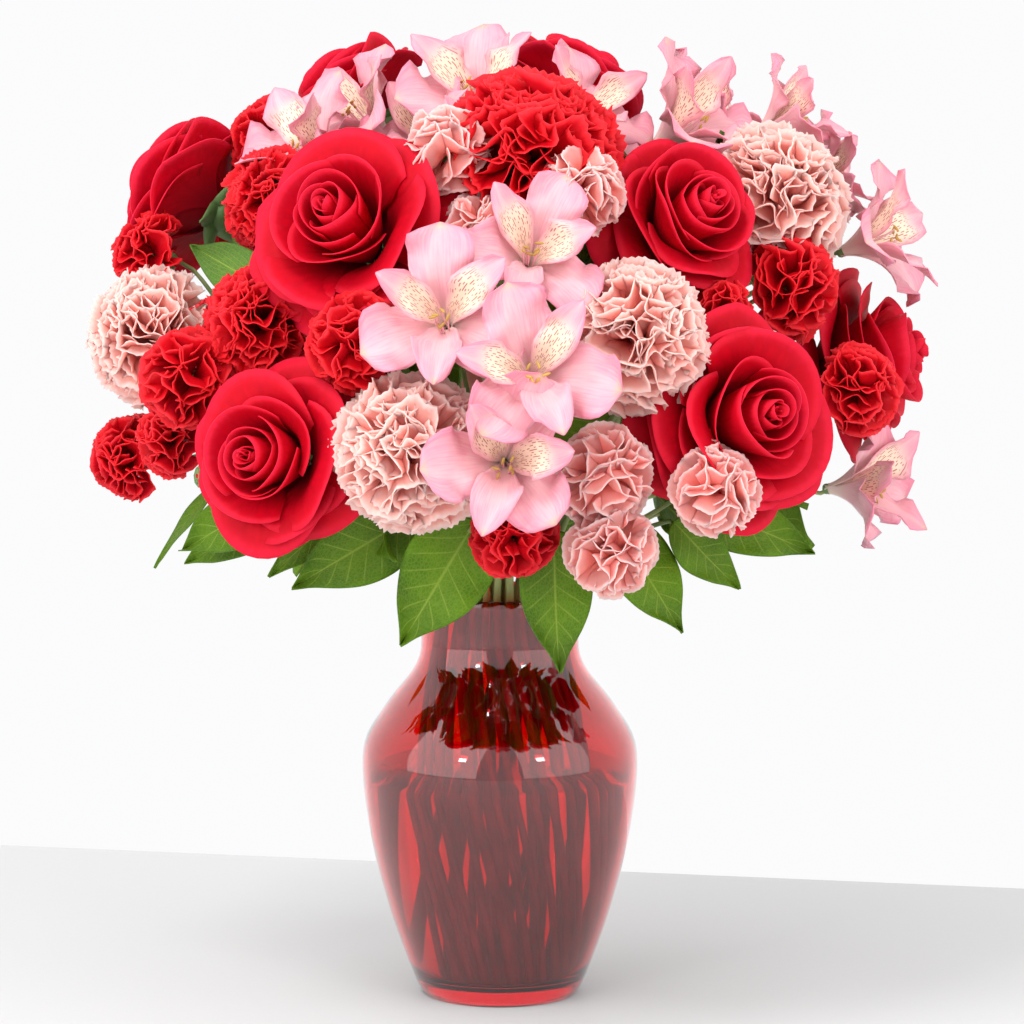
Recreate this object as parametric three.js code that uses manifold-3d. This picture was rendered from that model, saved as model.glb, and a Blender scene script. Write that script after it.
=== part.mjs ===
// A mixed bouquet of roses, carnations and lily-of-the-Incas in a ruby glass vase.
// Millimetres, +Z up. The origin is the centre of the vase's foot, and -Y is the front of the bouquet.
import * as THREE from "three";
import { mergeVertices } from "three/addons/utils/BufferGeometryUtils.js";
import Module from "manifold-3d";

const wasm = await Module();
wasm.setup();

// ---------------------------------------------------------------- driving dimensions

const GAP = 0.35; // between any two pieces that touch
const VASE = {
  height: 200,
  footRadius: 38,
  bellyRadius: 68,
  bellyHeight: 122,
  neckRadius: 39,
  neckLength: 38,
  lipFlare: 2.5,
  wall: 3,
  floor: 9,
  sides: 30,
};
const WATER = { level: 112, clearance: GAP, sides: 18 };
const DOME = { radius: 190, rise: 195, aboveLip: 75 }; // the bouquet's round outline, centred over the vase
// How the stems stand in the vase: they turn by twist from neck to foot, and fill is how far they spread
// from a straight bundle, at 0, towards the glass, at 1.
const BUNCH = { twist: 50, fill: 0.45, footClearance: 3, sleeve: 3 };
const STEM_RADIUS = { rose: 2.6, carnation: 1.8, mini: 1.7, alstroemeria: 2.1, green: 1.9 };
const TWIG_RADIUS = 1.2;
const LEAF_THICKNESS = 1.2;
const GOING_IN = 5; // how far a stem or twig runs into its flower

const heart = new THREE.Vector3(0, 0, VASE.height + DOME.aboveLip);

// ---------------------------------------------------------------- the flowers and where they stand
// az: degrees round the vase from the front, positive to the right. el: degrees above the dome's middle.
// reach: share of the dome's radius. size: the open flower's diameter.

const ROSES = [
  { at: "upper_left", az: -32, el: 39, reach: 0.86, size: 92 },
  { at: "upper_right", az: 46, el: 42, reach: 0.84, size: 78 },
  { at: "lower_left", az: -38, el: 1, reach: 0.86, size: 82 },
  { at: "lower_right", az: 42, el: 7, reach: 0.86, size: 92 },
  { at: "far_left", az: -98, el: 37, reach: 1.02, size: 80, turn: -34 },
  { at: "top_left", az: -120, el: 63, reach: 0.96, size: 72 },
  { at: "top", az: 138, el: 72, reach: 0.91, size: 72 },
  { at: "far_right", az: 92, el: 12, reach: 0.95, size: 86 },
  { at: "back_left", az: -150, el: 14, reach: 0.88, size: 88 },
  { at: "back_right", az: 148, el: 26, reach: 0.88, size: 88 },
];

const CARNATIONS = [
  { at: "top", colour: "red", az: 9, el: 57, reach: 0.86, size: 80 },
  { at: "left", colour: "red", az: -52, el: 23, reach: 0.82, size: 52 },
  { at: "upper_left", colour: "red", az: -68, el: 45, reach: 0.87, size: 48 },
  { at: "right", colour: "pink", az: 74, el: 40, reach: 0.96, size: 68 },
  { at: "far_left", colour: "pink", az: -78, el: 17, reach: 0.95, size: 62 },
  { at: "low", colour: "pink", az: -14, el: 3, reach: 0.86, size: 66 },
  { at: "centre", colour: "pink", az: 24, el: 21, reach: 0.86, size: 64 },
  { at: "back", colour: "red", az: 180, el: 52, reach: 0.88, size: 76 },
  { at: "back_low", colour: "pink", az: 178, el: 4, reach: 0.88, size: 68 },
];

const MINI_SPRAYS = [
  {
    name: "red_mini_carnation_spray_left",
    colour: "red",
    fork: { az: -71, el: 5, reach: 0.5 },
    heads: [
      { az: -59, el: 12, reach: 0.9, size: 44 },
      { az: -86, el: 28, reach: 1, size: 38 },
      { az: -84, el: -2, reach: 0.94, size: 38 },
      { az: -70, el: 2, reach: 0.86, size: 34 },
      { az: -64, el: 20, reach: 0.82, size: 13, bud: true },
      { az: -56, el: -3, reach: 0.86, size: 13, bud: true },
    ],
  },
  {
    name: "red_mini_carnation_spray_front",
    colour: "red",
    fork: { az: -16, el: 4, reach: 0.42 },
    heads: [
      { az: -25, el: 20, reach: 0.84, size: 42 },
      { az: 3, el: -13, reach: 0.72, size: 36 },
    ],
  },
  {
    name: "red_mini_carnation_spray_right",
    colour: "red",
    fork: { az: 64, el: 18, reach: 0.48 },
    heads: [
      { az: 66, el: 27, reach: 0.88, size: 46 },
      { az: 48, el: 26, reach: 0.8, size: 28 },
      { az: 70, el: 9, reach: 0.95, size: 40 },
    ],
  },
  {
    name: "red_mini_carnation_spray_back",
    colour: "red",
    fork: { az: -122, el: 22, reach: 0.5 },
    heads: [
      { az: -99, el: 52, reach: 0.95, size: 42 },
      { az: -122, el: 14, reach: 0.92, size: 42 },
      { az: -124, el: 38, reach: 0.9, size: 40 },
    ],
  },
  {
    name: "pink_mini_carnation_spray_top",
    colour: "pink",
    fork: { az: 2, el: 42, reach: 0.45 },
    heads: [
      { az: -13, el: 54, reach: 0.9, size: 40 },
      { az: 18, el: 45, reach: 0.9, size: 38 },
      { az: -4, el: 42, reach: 0.8, size: 36 },
    ],
  },
  {
    name: "pink_mini_carnation_spray_low",
    colour: "pink",
    fork: { az: 22, el: -4, reach: 0.44 },
    heads: [
      { az: 17, el: -1, reach: 0.84, size: 42 },
      { az: 33, el: -3, reach: 0.9, size: 38 },
      { az: 18, el: -12, reach: 0.88, size: 38 },
    ],
  },
  {
    name: "pink_mini_carnation_spray_back",
    colour: "pink",
    fork: { az: 124, el: 20, reach: 0.5 },
    heads: [
      { az: 124, el: 6, reach: 0.92, size: 42 },
      { az: 120, el: 44, reach: 0.88, size: 42 },
      { az: 118, el: 26, reach: 0.92, size: 38 },
    ],
  },
];

const ALSTROEMERIA_SPRAYS = [
  {
    name: "alstroemeria_spray_centre",
    fork: { az: 0, el: 18, reach: 0.46 },
    heads: [
      { az: -9, el: 23, reach: 0.9, size: 58 },
      { az: 6, el: 34, reach: 0.88, size: 54 },
      { az: 5, el: 14, reach: 0.95, size: 60 },
      { az: 1, el: 2, reach: 0.92, size: 60 },
    ],
  },
  {
    name: "alstroemeria_spray_top",
    fork: { az: -62, el: 66, reach: 0.5 },
    heads: [
      { az: -22, el: 80, reach: 0.87, size: 58 },
      { az: -46, el: 72, reach: 0.79, size: 50 },
      { az: -72, el: 56, reach: 0.88, size: 56 },
      { az: -80, el: 67, reach: 0.88, size: 54 },
    ],
  },
  {
    name: "alstroemeria_spray_upper_right",
    fork: { az: 76, el: 62, reach: 0.5 },
    heads: [
      { az: 54, el: 73, reach: 0.85, size: 52 },
      { az: 72, el: 59, reach: 0.92, size: 60 },
      { az: 104, el: 56, reach: 0.98, size: 52 },
    ],
  },
  {
    name: "alstroemeria_spray_right",
    fork: { az: 92, el: 32, reach: 0.5 },
    heads: [
      { az: 94, el: 48, reach: 1.08, size: 50 },
      { az: 102, el: 37, reach: 1.08, size: 50 },
      { az: 88, el: 28, reach: 1.08, size: 58 },
      { az: 78, el: -6, reach: 0.93, size: 54 },
    ],
  },
  {
    name: "alstroemeria_spray_back",
    fork: { az: 176, el: 28, reach: 0.48 },
    heads: [
      { az: 180, el: 27, reach: 0.92, size: 60 },
      { az: -164, el: 40, reach: 0.92, size: 56 },
      { az: 157, el: 46, reach: 0.92, size: 56 },
      { az: 156, el: 3, reach: 0.92, size: 54 },
    ],
  },
];

// Each leaf runs from where its stalk ends to its tip. droop: how far the tip bends out of the leaf's plane.
const SPRIGS = [
  {
    name: "salal_sprig_front",
    fork: { az: 0, el: -30, reach: 0.42 },
    leaves: [
      { from: [-5, -12, 0.64], to: [-21, -33, 0.8], width: 44, droop: 6 },
      { from: [13, -16, 0.6], to: [14, -39, 0.8], width: 37, droop: 5 },
      { from: [-20, -12, 0.6], to: [-44, -23, 0.8], width: 38, droop: 6 },
      { from: [-36, -9, 0.6], to: [-50, -21, 0.8], width: 22, droop: 4 },
    ],
  },
  {
    name: "salal_sprig_right",
    fork: { az: 50, el: -32, reach: 0.42 },
    leaves: [
      { from: [44, -8, 0.66], to: [62, -15, 0.92], width: 33, droop: 4 },
      { from: [28, -15, 0.62], to: [38, -29, 0.84], width: 34, droop: 5 },
      { from: [38, -12, 0.66], to: [50, -22, 0.84], width: 26, droop: 5 },
    ],
  },
  {
    name: "salal_sprig_left",
    fork: { az: -66, el: -30, reach: 0.42 },
    leaves: [
      { from: [-56, -8, 0.62], to: [-78, -17, 0.88], width: 34, droop: 5 },
      { from: [-68, -14, 0.6], to: [-84, -20, 0.88], width: 26, droop: 5 },
      { from: [-78, -6, 0.72], to: [-92, -19, 0.98], width: 10, droop: 6 },
    ],
  },
  {
    name: "ruscus_sprig_left",
    fork: { az: -74, el: 30, reach: 0.5 },
    leaves: [
      { from: [-56, 30, 0.76], to: [-76, 32, 0.96], width: 26, droop: 6 },
      { from: [-74, 36, 0.74], to: [-87, 42, 0.95], width: 22, droop: 5 },
      { from: [-84, 42, 0.74], to: [-83, 51, 0.93], width: 18, droop: 5 },
      { from: [-94, 17, 0.74], to: [-94, 23, 1.06], width: 12, droop: 5 },
    ],
  },
  {
    name: "ruscus_sprig_right",
    fork: { az: 62, el: 50, reach: 0.46 },
    leaves: [
      { from: [64, 47, 0.68], to: [44, 62, 0.9], width: 22, droop: 5 },
      { from: [68, 48, 0.7], to: [72, 52, 0.98], width: 24, droop: 5 },
      { from: [112, 60, 0.6], to: [150, 60, 0.9], width: 20, droop: 5 },
    ],
  },
  {
    name: "salal_sprig_back_left",
    fork: { az: -140, el: -30, reach: 0.42 },
    leaves: [
      { from: [-166, -12, 0.62], to: [-178, -33, 0.82], width: 44, droop: 6 },
      { from: [-140, -12, 0.62], to: [-132, -27, 0.86], width: 38, droop: 5 },
      { from: [-122, -9, 0.64], to: [-108, -18, 0.9], width: 34, droop: 5 },
    ],
  },
  {
    name: "salal_sprig_back_right",
    fork: { az: 136, el: -30, reach: 0.42 },
    leaves: [
      { from: [156, -13, 0.62], to: [162, -33, 0.82], width: 42, droop: 6 },
      { from: [134, -12, 0.62], to: [130, -26, 0.86], width: 38, droop: 5 },
      { from: [110, -9, 0.64], to: [102, -18, 0.9], width: 34, droop: 5 },
    ],
  },
];

// ---------------------------------------------------------------- materials

const finish = (color, roughness, more = {}) =>
  new THREE.MeshStandardMaterial({ color, roughness, metalness: 0, ...more });
const MATERIALS = {
  ruby_glass: finish(0x9c0a1c, 0.05, { transparent: true, opacity: 0.45 }),
  water: finish(0xe8d8d8, 0.02, { transparent: true, opacity: 0.25 }),
  rose_petal: finish(0xb3001b, 0.55),
  red_petal: finish(0xc80f16, 0.65),
  pink_petal: finish(0xf4b6b4, 0.65),
  alstroemeria_petal: finish(0xf3c3d2, 0.6),
  salal_leaf: finish(0x3f6d16, 0.4),
  ruscus_leaf: finish(0x2f5f1c, 0.35),
};

// ---------------------------------------------------------------- solids

function solidOf(geometry) {
  const bare = geometry.clone();
  for (const name of ["normal", "uv", "uv1"]) bare.deleteAttribute(name);
  const merged = mergeVertices(bare, 1e-4);
  const triVerts = new Uint32Array(merged.index.array);
  const vertProperties = merged.attributes.position.array;
  return new wasm.Manifold(new wasm.Mesh({ numProp: 3, vertProperties, triVerts }));
}

function geometryOf(solid) {
  const mesh = solid.getMesh();
  return new THREE.BufferGeometry()
    .setAttribute("position", new THREE.BufferAttribute(mesh.vertProperties.slice(), 3))
    .setIndex(new THREE.BufferAttribute(mesh.triVerts.slice(), 1));
}

const largestOf = (solid) => solid.decompose().reduce((a, b) => (b.volume() > a.volume() ? b : a));

function boxesMeet(a, b) {
  const p = a.boundingBox();
  const q = b.boundingBox();
  return [0, 1, 2].every((k) => p.min[k] < q.max[k] && q.min[k] < p.max[k]);
}

// What is left of a solid on its stalk after its neighbours, each already grown by the gap, have taken
// their room.
const TOO_SMALL = 0.08; // edges shorter than this, left by a cut, are closed up
function fitAmong(solid, stalk, neighbours) {
  const near = neighbours.filter((other) => boxesMeet(solid, other));
  if (!near.length) return solid;
  const cut = near.reduce((left, other) => left.subtract(other), solid).simplify(TOO_SMALL);
  const held = cut.decompose().filter((part) => part.intersect(stalk).volume() > 0);
  return held.length ? wasm.Manifold.compose(held) : largestOf(cut);
}

// ---------------------------------------------------------------- the vase and its water

// The vase's outer outline from the foot's edge to the lip, as one smooth curve.
function outerOutline(grow = 0) {
  const { height, footRadius, bellyRadius, bellyHeight, neckRadius, neckLength, lipFlare } = VASE;
  const shoulder = height - neckLength;
  const heel = 0.055 * bellyHeight;
  return new THREE.SplineCurve([
    new THREE.Vector2(footRadius + grow, 0),
    new THREE.Vector2(footRadius + 0.14 * (bellyRadius - footRadius) + grow, heel),
    new THREE.Vector2(footRadius + 0.56 * (bellyRadius - footRadius) + grow, 0.34 * bellyHeight),
    new THREE.Vector2(footRadius + 0.9 * (bellyRadius - footRadius) + grow, 0.68 * bellyHeight),
    new THREE.Vector2(bellyRadius + grow, bellyHeight),
    new THREE.Vector2(neckRadius + 0.62 * (bellyRadius - neckRadius) + grow, (bellyHeight + shoulder) / 2 + 2),
    new THREE.Vector2(neckRadius + 0.1 * (bellyRadius - neckRadius) + grow, shoulder + 2),
    new THREE.Vector2(neckRadius + grow, height - 0.55 * neckLength),
    new THREE.Vector2(neckRadius + lipFlare + grow, height + grow),
  ]);
}

const OUTLINE_STEPS = 15;
const outlinePoints = outerOutline().getSpacedPoints(OUTLINE_STEPS);

// The glass's inner radius at a height, a wall inside the outer outline.
function innerRadius(z) {
  const above = outlinePoints.findIndex((p) => p.y >= z);
  const i = above < 1 ? 1 : above;
  const [low, high] = [outlinePoints[i - 1], outlinePoints[i]];
  return THREE.MathUtils.mapLinear(z, low.y, high.y, low.x, high.x) - VASE.wall;
}

function lathe(points, sides) {
  return new THREE.LatheGeometry(points, sides).rotateX(Math.PI / 2);
}

function vaseGeometry() {
  const inside = outlinePoints
    .filter((p) => p.y > VASE.floor + 4)
    .map((p) => new THREE.Vector2(p.x - VASE.wall, p.y))
    .reverse();
  const floorEdge = innerRadius(VASE.floor + 4);
  const profile = [
    new THREE.Vector2(0, 0),
    ...outlinePoints,
    ...inside,
    new THREE.Vector2(floorEdge - 3, VASE.floor),
    new THREE.Vector2(0, VASE.floor),
  ];
  return lathe(profile, VASE.sides);
}

function waterGeometry() {
  const bottom = VASE.floor + WATER.clearance;
  const edge = outlinePoints
    .filter((p) => p.y > bottom + 5 && p.y < WATER.level - 1)
    .map((p) => new THREE.Vector2(p.x - VASE.wall - WATER.clearance - 0.4, p.y));
  const top = new THREE.Vector2(innerRadius(WATER.level) - WATER.clearance - 0.4, WATER.level);
  const foot = new THREE.Vector2(innerRadius(VASE.floor + 4) - 4, bottom);
  const profile = [new THREE.Vector2(0, bottom), foot, ...edge, top, new THREE.Vector2(0, WATER.level)];
  return lathe(profile, WATER.sides);
}

// ---------------------------------------------------------------- places on the dome

function onDome({ az, el, reach }) {
  const [a, e] = [az, el].map(THREE.MathUtils.degToRad);
  const across = DOME.radius * reach * Math.cos(e);
  return heart
    .clone()
    .add(new THREE.Vector3(across * Math.sin(a), -across * Math.cos(a), DOME.rise * reach * Math.sin(e)));
}

// The way a flower looks: outward from the bunch, nodding a little below its place on the dome, and those
// at the sides turned a little to the front. turn: degrees further round, where a flower has its own way.
function facing({ az, el, turn = 0 }) {
  const towardsFront = 14 * Math.sin(THREE.MathUtils.degToRad(az));
  const [a, e] = [az - towardsFront + turn, Math.max(6, 0.5 * el + 7)].map(THREE.MathUtils.degToRad);
  return new THREE.Vector3(Math.cos(e) * Math.sin(a), -Math.cos(e) * Math.cos(a), Math.sin(e));
}

// A flower's own frame: +Z is the way it looks, and its base is set back so that its middle is in its place.
function flowerFrame(flower, depth) {
  const look = facing(flower);
  const turn = new THREE.Quaternion().setFromUnitVectors(new THREE.Vector3(0, 0, 1), look);
  const base = onDome(flower).addScaledVector(look, -depth / 2);
  return { base, look, turn, matrix: new THREE.Matrix4().compose(base, turn, new THREE.Vector3(1, 1, 1)) };
}

// ---------------------------------------------------------------- flower heads

// Each kind: its depth as a share of its size, the outline from base to crown as [radius, height] shares,
// and how petals wave the rim: their number, how deep they cut and how far they twist up the flower.
const BLOOMS = {
  rose: {
    depth: 0.62,
    sides: 15,
    outline: [[0, 0], [0.16, 0.02], [0.66, 0.22], [0.96, 0.5], [1, 0.72], [0.7, 0.95], [0.36, 1], [0, 0.9]],
    petals: 5,
    cut: 0.07,
    twist: 1.2,
  },
  carnation: {
    depth: 0.72,
    sides: 15,
    outline: [[0, 0], [0.15, 0.02], [0.2, 0.34], [0.8, 0.46], [1, 0.64], [0.72, 0.92], [0, 1]],
    petals: 6,
    cut: 0.08,
    twist: 0.6,
  },
  mini: {
    depth: 0.8,
    sides: 10,
    outline: [[0, 0], [0.2, 0.03], [0.25, 0.34], [0.86, 0.5], [1, 0.72], [0.62, 0.96], [0, 1]],
    petals: 4,
    cut: 0.09,
    twist: 0.4,
  },
  alstroemeria: {
    depth: 0.62,
    sides: 12,
    outline: [[0, 0], [0.12, 0.03], [0.26, 0.34], [0.98, 0.95], [0.94, 1], [0, 0.5]],
    petals: 6,
    cut: 0.2,
    twist: 0,
  },
  bud: {
    depth: 1.7,
    sides: 6,
    outline: [[0, 0], [0.6, 0.06], [1, 0.5], [0.7, 0.85], [0, 1]],
    petals: 0,
    cut: 0,
    twist: 0,
  },
};

function bloomGeometry(kind, size, grow = 0) {
  const { depth, sides, outline, petals, cut, twist } = BLOOMS[kind];
  const radius = size / 2 + grow;
  const tall = depth * size + 2 * grow;
  const points = outline.map(([r, h]) => new THREE.Vector2(r * radius, h * tall - grow));
  const geometry = lathe(points, sides);
  const place = geometry.attributes.position;
  for (let i = 0; i < place.count; i++) {
    const [x, y, z] = [place.getX(i), place.getY(i), place.getZ(i)];
    const share = Math.hypot(x, y) / radius;
    const wave = 1 + cut * share * share * Math.cos(petals * (Math.atan2(y, x) + (twist * z) / tall));
    place.setXY(i, x * wave, y * wave);
  }
  return geometry;
}

// ---------------------------------------------------------------- stems

function ring(radius, sides) {
  const points = [...Array(sides).keys()].map((i) => {
    const angle = (2 * Math.PI * i) / sides;
    return new THREE.Vector2(radius * Math.cos(angle), radius * Math.sin(angle));
  });
  return new THREE.Shape(points);
}

function tube(points, radius, steps, sides = 5) {
  const path = new THREE.CatmullRomCurve3(points, false, "centripetal");
  return new THREE.ExtrudeGeometry(ring(radius, sides), { steps, extrudePath: path });
}

// Where each stem crosses the neck: low outer flowers in the outer ring, top ones in the middle, and
// each as near its own bearing as its neighbours allow, so that no two stems cross above the neck.
const NECK_RINGS = [
  { share: 1, slots: 17 },
  { share: 0.7, slots: 12 },
  { share: 0.4, slots: 7 },
  { share: 0.13, slots: 2 },
];

// The outer ring's radius at the neck, with a sleeve of room to the glass.
const bundleRadius = VASE.neckRadius - VASE.wall - STEM_RADIUS.rose - BUNCH.sleeve;

// Bearings pushed apart, in their own order, until neighbours are at least a step apart.
function pushedApart(bearings, step) {
  const az = [...bearings];
  for (let pass = 0; pass < 400; pass++) {
    for (let i = 0; i < az.length; i++) {
      const next = (i + 1) % az.length;
      const apart = az[next] - az[i] + (next === 0 ? 360 : 0);
      const short = Math.max(0, (step - apart) / 2);
      az[i] -= short;
      az[next] += short;
    }
  }
  return az;
}

function neckSlots(stems) {
  const width = 2 * (STEM_RADIUS.rose + GAP);
  const byHeight = [...stems].sort((a, b) => a.towards.el - b.towards.el);
  let first = 0;
  for (const { share, slots } of NECK_RINGS) {
    const members = byHeight.slice(first, first + slots).sort((a, b) => a.towards.az - b.towards.az);
    first += slots;
    const radius = bundleRadius * share;
    const step = THREE.MathUtils.radToDeg(2 * Math.asin(width / 2 / radius));
    const bearings = pushedApart(members.map((stem) => stem.towards.az), step);
    members.forEach((stem, i) => {
      stem.neck = { radius, az: bearings[i] };
    });
  }
}

// A stem's route in the vase: every stem turns and spreads by the same rule, so none can touch another.
function bunchPoint({ radius, az }, t) {
  const top = VASE.height - VASE.neckLength / 2;
  const foot = VASE.floor + BUNCH.footClearance;
  const z = THREE.MathUtils.lerp(top, foot, t);
  const glass = innerRadius(z) - STEM_RADIUS.rose - BUNCH.sleeve;
  const spread = THREE.MathUtils.lerp(1, Math.max(1, glass / bundleRadius), BUNCH.fill);
  const a = THREE.MathUtils.degToRad(az + BUNCH.twist * t);
  return new THREE.Vector3(radius * spread * Math.sin(a), -radius * spread * Math.cos(a), z);
}

function stemPoints(stem) {
  const inVase = [1, 0.8, 0.6, 0.4, 0.2, 0].map((t) => bunchPoint(stem.neck, t));
  const lip = bunchPoint(stem.neck, 0).setZ(VASE.height + 6);
  const above = [0.45].map((s) => lip.clone().lerp(stem.approach, s).add(new THREE.Vector3(0, 0, 6)));
  return [...inVase, lip, ...above, stem.approach, stem.end];
}

const STEM_STEPS = 10;
const stemTube = (stem, grow = 0) => tube(stemPoints(stem), stem.radius + grow, STEM_STEPS);

// ---------------------------------------------------------------- leaves

const LEAF_OUTLINE = [[0.12, 0.02], [0.36, 0.12], [0.49, 0.3], [0.48, 0.48], [0.38, 0.68], [0.2, 0.86], [0, 1]];

function leafGeometry(leaf, grow = 0) {
  const [from, to] = [leaf.from, leaf.to].map(([az, el, reach]) => onDome({ az, el, reach }));
  const along = to.clone().sub(from);
  const length = along.length();
  along.normalize();
  const outward = from.clone().lerp(to, 0.5).sub(heart).normalize();
  const normal = outward.addScaledVector(along, -outward.dot(along)).normalize();
  const across = new THREE.Vector3().crossVectors(along, normal);
  const right = LEAF_OUTLINE.map(([x, y]) => new THREE.Vector2(x * leaf.width, y * length));
  const left = right.slice(0, -1).reverse().map((p) => new THREE.Vector2(-p.x, p.y));
  const thickness = LEAF_THICKNESS + 2 * grow;
  const shape = new THREE.Shape([...right, ...left]);
  const blade = new THREE.ExtrudeGeometry(shape, { depth: thickness, bevelEnabled: false });
  blade.translate(0, 0, -thickness / 2);
  const place = blade.attributes.position;
  for (let i = 0; i < place.count; i++) {
    const share = place.getY(i) / length;
    place.setZ(i, place.getZ(i) - leaf.droop * share * share);
  }
  const frame = new THREE.Matrix4().makeBasis(across, along, normal).setPosition(from);
  return blade.applyMatrix4(frame);
}

// ---------------------------------------------------------------- laying out the bunch

const stems = [];

function newStem(kind, towards, end, approach) {
  const stem = { radius: STEM_RADIUS[kind], towards, end, approach };
  stems.push(stem);
  return stem;
}

// A piece of the bouquet is one cut stem with all that grew on it: heads are its flowers, twigs the thin
// stalks from its fork, leaves its blades.
const bloomFrame = (kind, flower) => flowerFrame(flower, BLOOMS[kind].depth * flower.size);

// A flower on a stem of its own, which comes up straight behind it.
const APPROACH = 26;
function singleFlower(kind, flower, name, material) {
  const frame = bloomFrame(kind, flower);
  const end = frame.base.clone().addScaledVector(frame.look, GOING_IN);
  const approach = frame.base.clone().addScaledVector(frame.look, -APPROACH);
  const stem = newStem(kind, flower, end, approach);
  return { name, material, stem, heads: [{ kind, flower, frame }], twigs: [], leaves: [] };
}

// A spray: one stem up to a fork, and a twig from there to each flower or leaf.
function forkedStem(kind, fork) {
  const end = onDome(fork);
  const lip = new THREE.Vector3(0, 0, VASE.height);
  return newStem(kind, fork, end, end.clone().lerp(lip, 0.3));
}

function flowerSpray(kind, spray, material) {
  const stem = forkedStem(kind, spray.fork);
  const heads = spray.heads.map((flower) => {
    const headKind = flower.bud ? "bud" : kind;
    return { kind: headKind, flower, frame: bloomFrame(headKind, flower) };
  });
  const twigs = heads.map(({ frame }) => [
    stem.end,
    stem.end.clone().lerp(frame.base, 0.55).addScaledVector(frame.look, -4),
    frame.base.clone().addScaledVector(frame.look, -9),
    frame.base.clone().addScaledVector(frame.look, GOING_IN),
  ]);
  return { name: spray.name, material, stem, heads, twigs, leaves: [] };
}

function leafSprig(sprig) {
  const stem = forkedStem("green", sprig.fork);
  const material = sprig.name.startsWith("ruscus") ? MATERIALS.ruscus_leaf : MATERIALS.salal_leaf;
  const twigs = sprig.leaves.map((leaf) => {
    const [from, to] = [leaf.from, leaf.to].map(([az, el, reach]) => onDome({ az, el, reach }));
    return [stem.end, stem.end.clone().lerp(from, 0.6), from, from.clone().lerp(to, 0.1)];
  });
  return { name: sprig.name, material, stem, heads: [], twigs, leaves: sprig.leaves };
}

const pieces = [
  ...SPRIGS.map(leafSprig),
  ...ROSES.map((rose) => singleFlower("rose", rose, `rose_${rose.at}`, MATERIALS.rose_petal)),
  ...CARNATIONS.map((flower) => {
    const name = `${flower.colour}_carnation_${flower.at}`;
    return singleFlower("carnation", flower, name, MATERIALS[`${flower.colour}_petal`]);
  }),
  ...ALSTROEMERIA_SPRAYS.map((spray) => flowerSpray("alstroemeria", spray, MATERIALS.alstroemeria_petal)),
  ...MINI_SPRAYS.map((spray) => flowerSpray("mini", spray, MATERIALS[`${spray.colour}_petal`])),
];
neckSlots(stems);

// ---------------------------------------------------------------- building the pieces

const TWIG_STEPS = 3;
function wood({ stem, twigs }, grow = 0) {
  const main = solidOf(stemTube(stem, grow));
  if (!twigs.length) return main;
  const parts = twigs.map((points) => solidOf(tube(points, TWIG_RADIUS + grow, TWIG_STEPS, 4)));
  const knot = new THREE.IcosahedronGeometry(1.25 * stem.radius + grow).translate(...stem.end.toArray());
  return [...parts, solidOf(knot)].reduce((all, part) => all.add(part), main);
}

for (const piece of pieces) {
  piece.solid = wood(piece);
  piece.room = wood(piece, GAP);
}
const rooms = pieces.map((piece) => piece.room);

// Leaves and flowers take their room in turn, clear of every other piece's stem and of those before them.
const taken = [];
function grow(piece, geometry, room) {
  const others = rooms.filter((other) => other !== piece.room);
  piece.solid = piece.solid.add(fitAmong(solidOf(geometry), piece.solid, [...others, ...taken]));
  taken.push(solidOf(room));
}

for (const piece of pieces) {
  for (const leaf of piece.leaves) grow(piece, leafGeometry(leaf), leafGeometry(leaf, GAP));
  for (const { kind, flower, frame } of piece.heads) {
    const [head, room] = [0, GAP].map((more) => bloomGeometry(kind, flower.size, more).applyMatrix4(frame.matrix));
    grow(piece, head, room);
  }
}

// The water fills the vase round the stems.
const standing = rooms.filter((room) => room.boundingBox().min[2] < WATER.level);
const water = standing.reduce((left, room) => left.subtract(room), solidOf(waterGeometry()));

// Each piece is placed by its stem's end, where its flower or its fork is.
const bouquet = new THREE.Group();
function addPiece(name, geometry, material, place = new THREE.Vector3()) {
  const mesh = new THREE.Mesh(geometry.translate(-place.x, -place.y, -place.z), material);
  mesh.name = name;
  mesh.position.copy(place);
  bouquet.add(mesh);
}

addPiece("vase", vaseGeometry(), MATERIALS.ruby_glass);
addPiece("water", geometryOf(largestOf(water)), MATERIALS.water);
for (const { name, solid, material, stem } of pieces) addPiece(name, geometryOf(solid), material, stem.end);

export default bouquet;
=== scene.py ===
"""A mixed bouquet in a ruby glass vase: the petals, leaves, stems and glass built round the packed part.

Metres, +Z up. The vase stands at the origin and the bouquet's front looks along -Y.
"""

import math
import random

import bmesh
import bpy
import numpy as np
from bpy.props import FloatProperty, FloatVectorProperty, IntProperty, PointerProperty
from mathutils import Matrix, Vector


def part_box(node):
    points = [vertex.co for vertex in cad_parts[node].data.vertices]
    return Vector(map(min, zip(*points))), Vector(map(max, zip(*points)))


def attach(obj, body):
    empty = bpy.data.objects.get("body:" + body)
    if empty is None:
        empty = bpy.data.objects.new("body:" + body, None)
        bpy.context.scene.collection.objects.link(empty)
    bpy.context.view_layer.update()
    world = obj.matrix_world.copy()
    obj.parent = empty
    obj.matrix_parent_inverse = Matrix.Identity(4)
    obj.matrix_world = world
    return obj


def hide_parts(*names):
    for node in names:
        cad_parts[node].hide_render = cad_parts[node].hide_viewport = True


bl_info = {
    "name": "Mixed bouquet in a ruby vase",
    "version": (1, 0, 0),
    "blender": (4, 5, 0),
    "location": "View3D > Sidebar > Bouquet",
    "description": "Builds roses, carnations, alstroemeria and leaves in a glass vase",
    "category": "Object",
}

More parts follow.
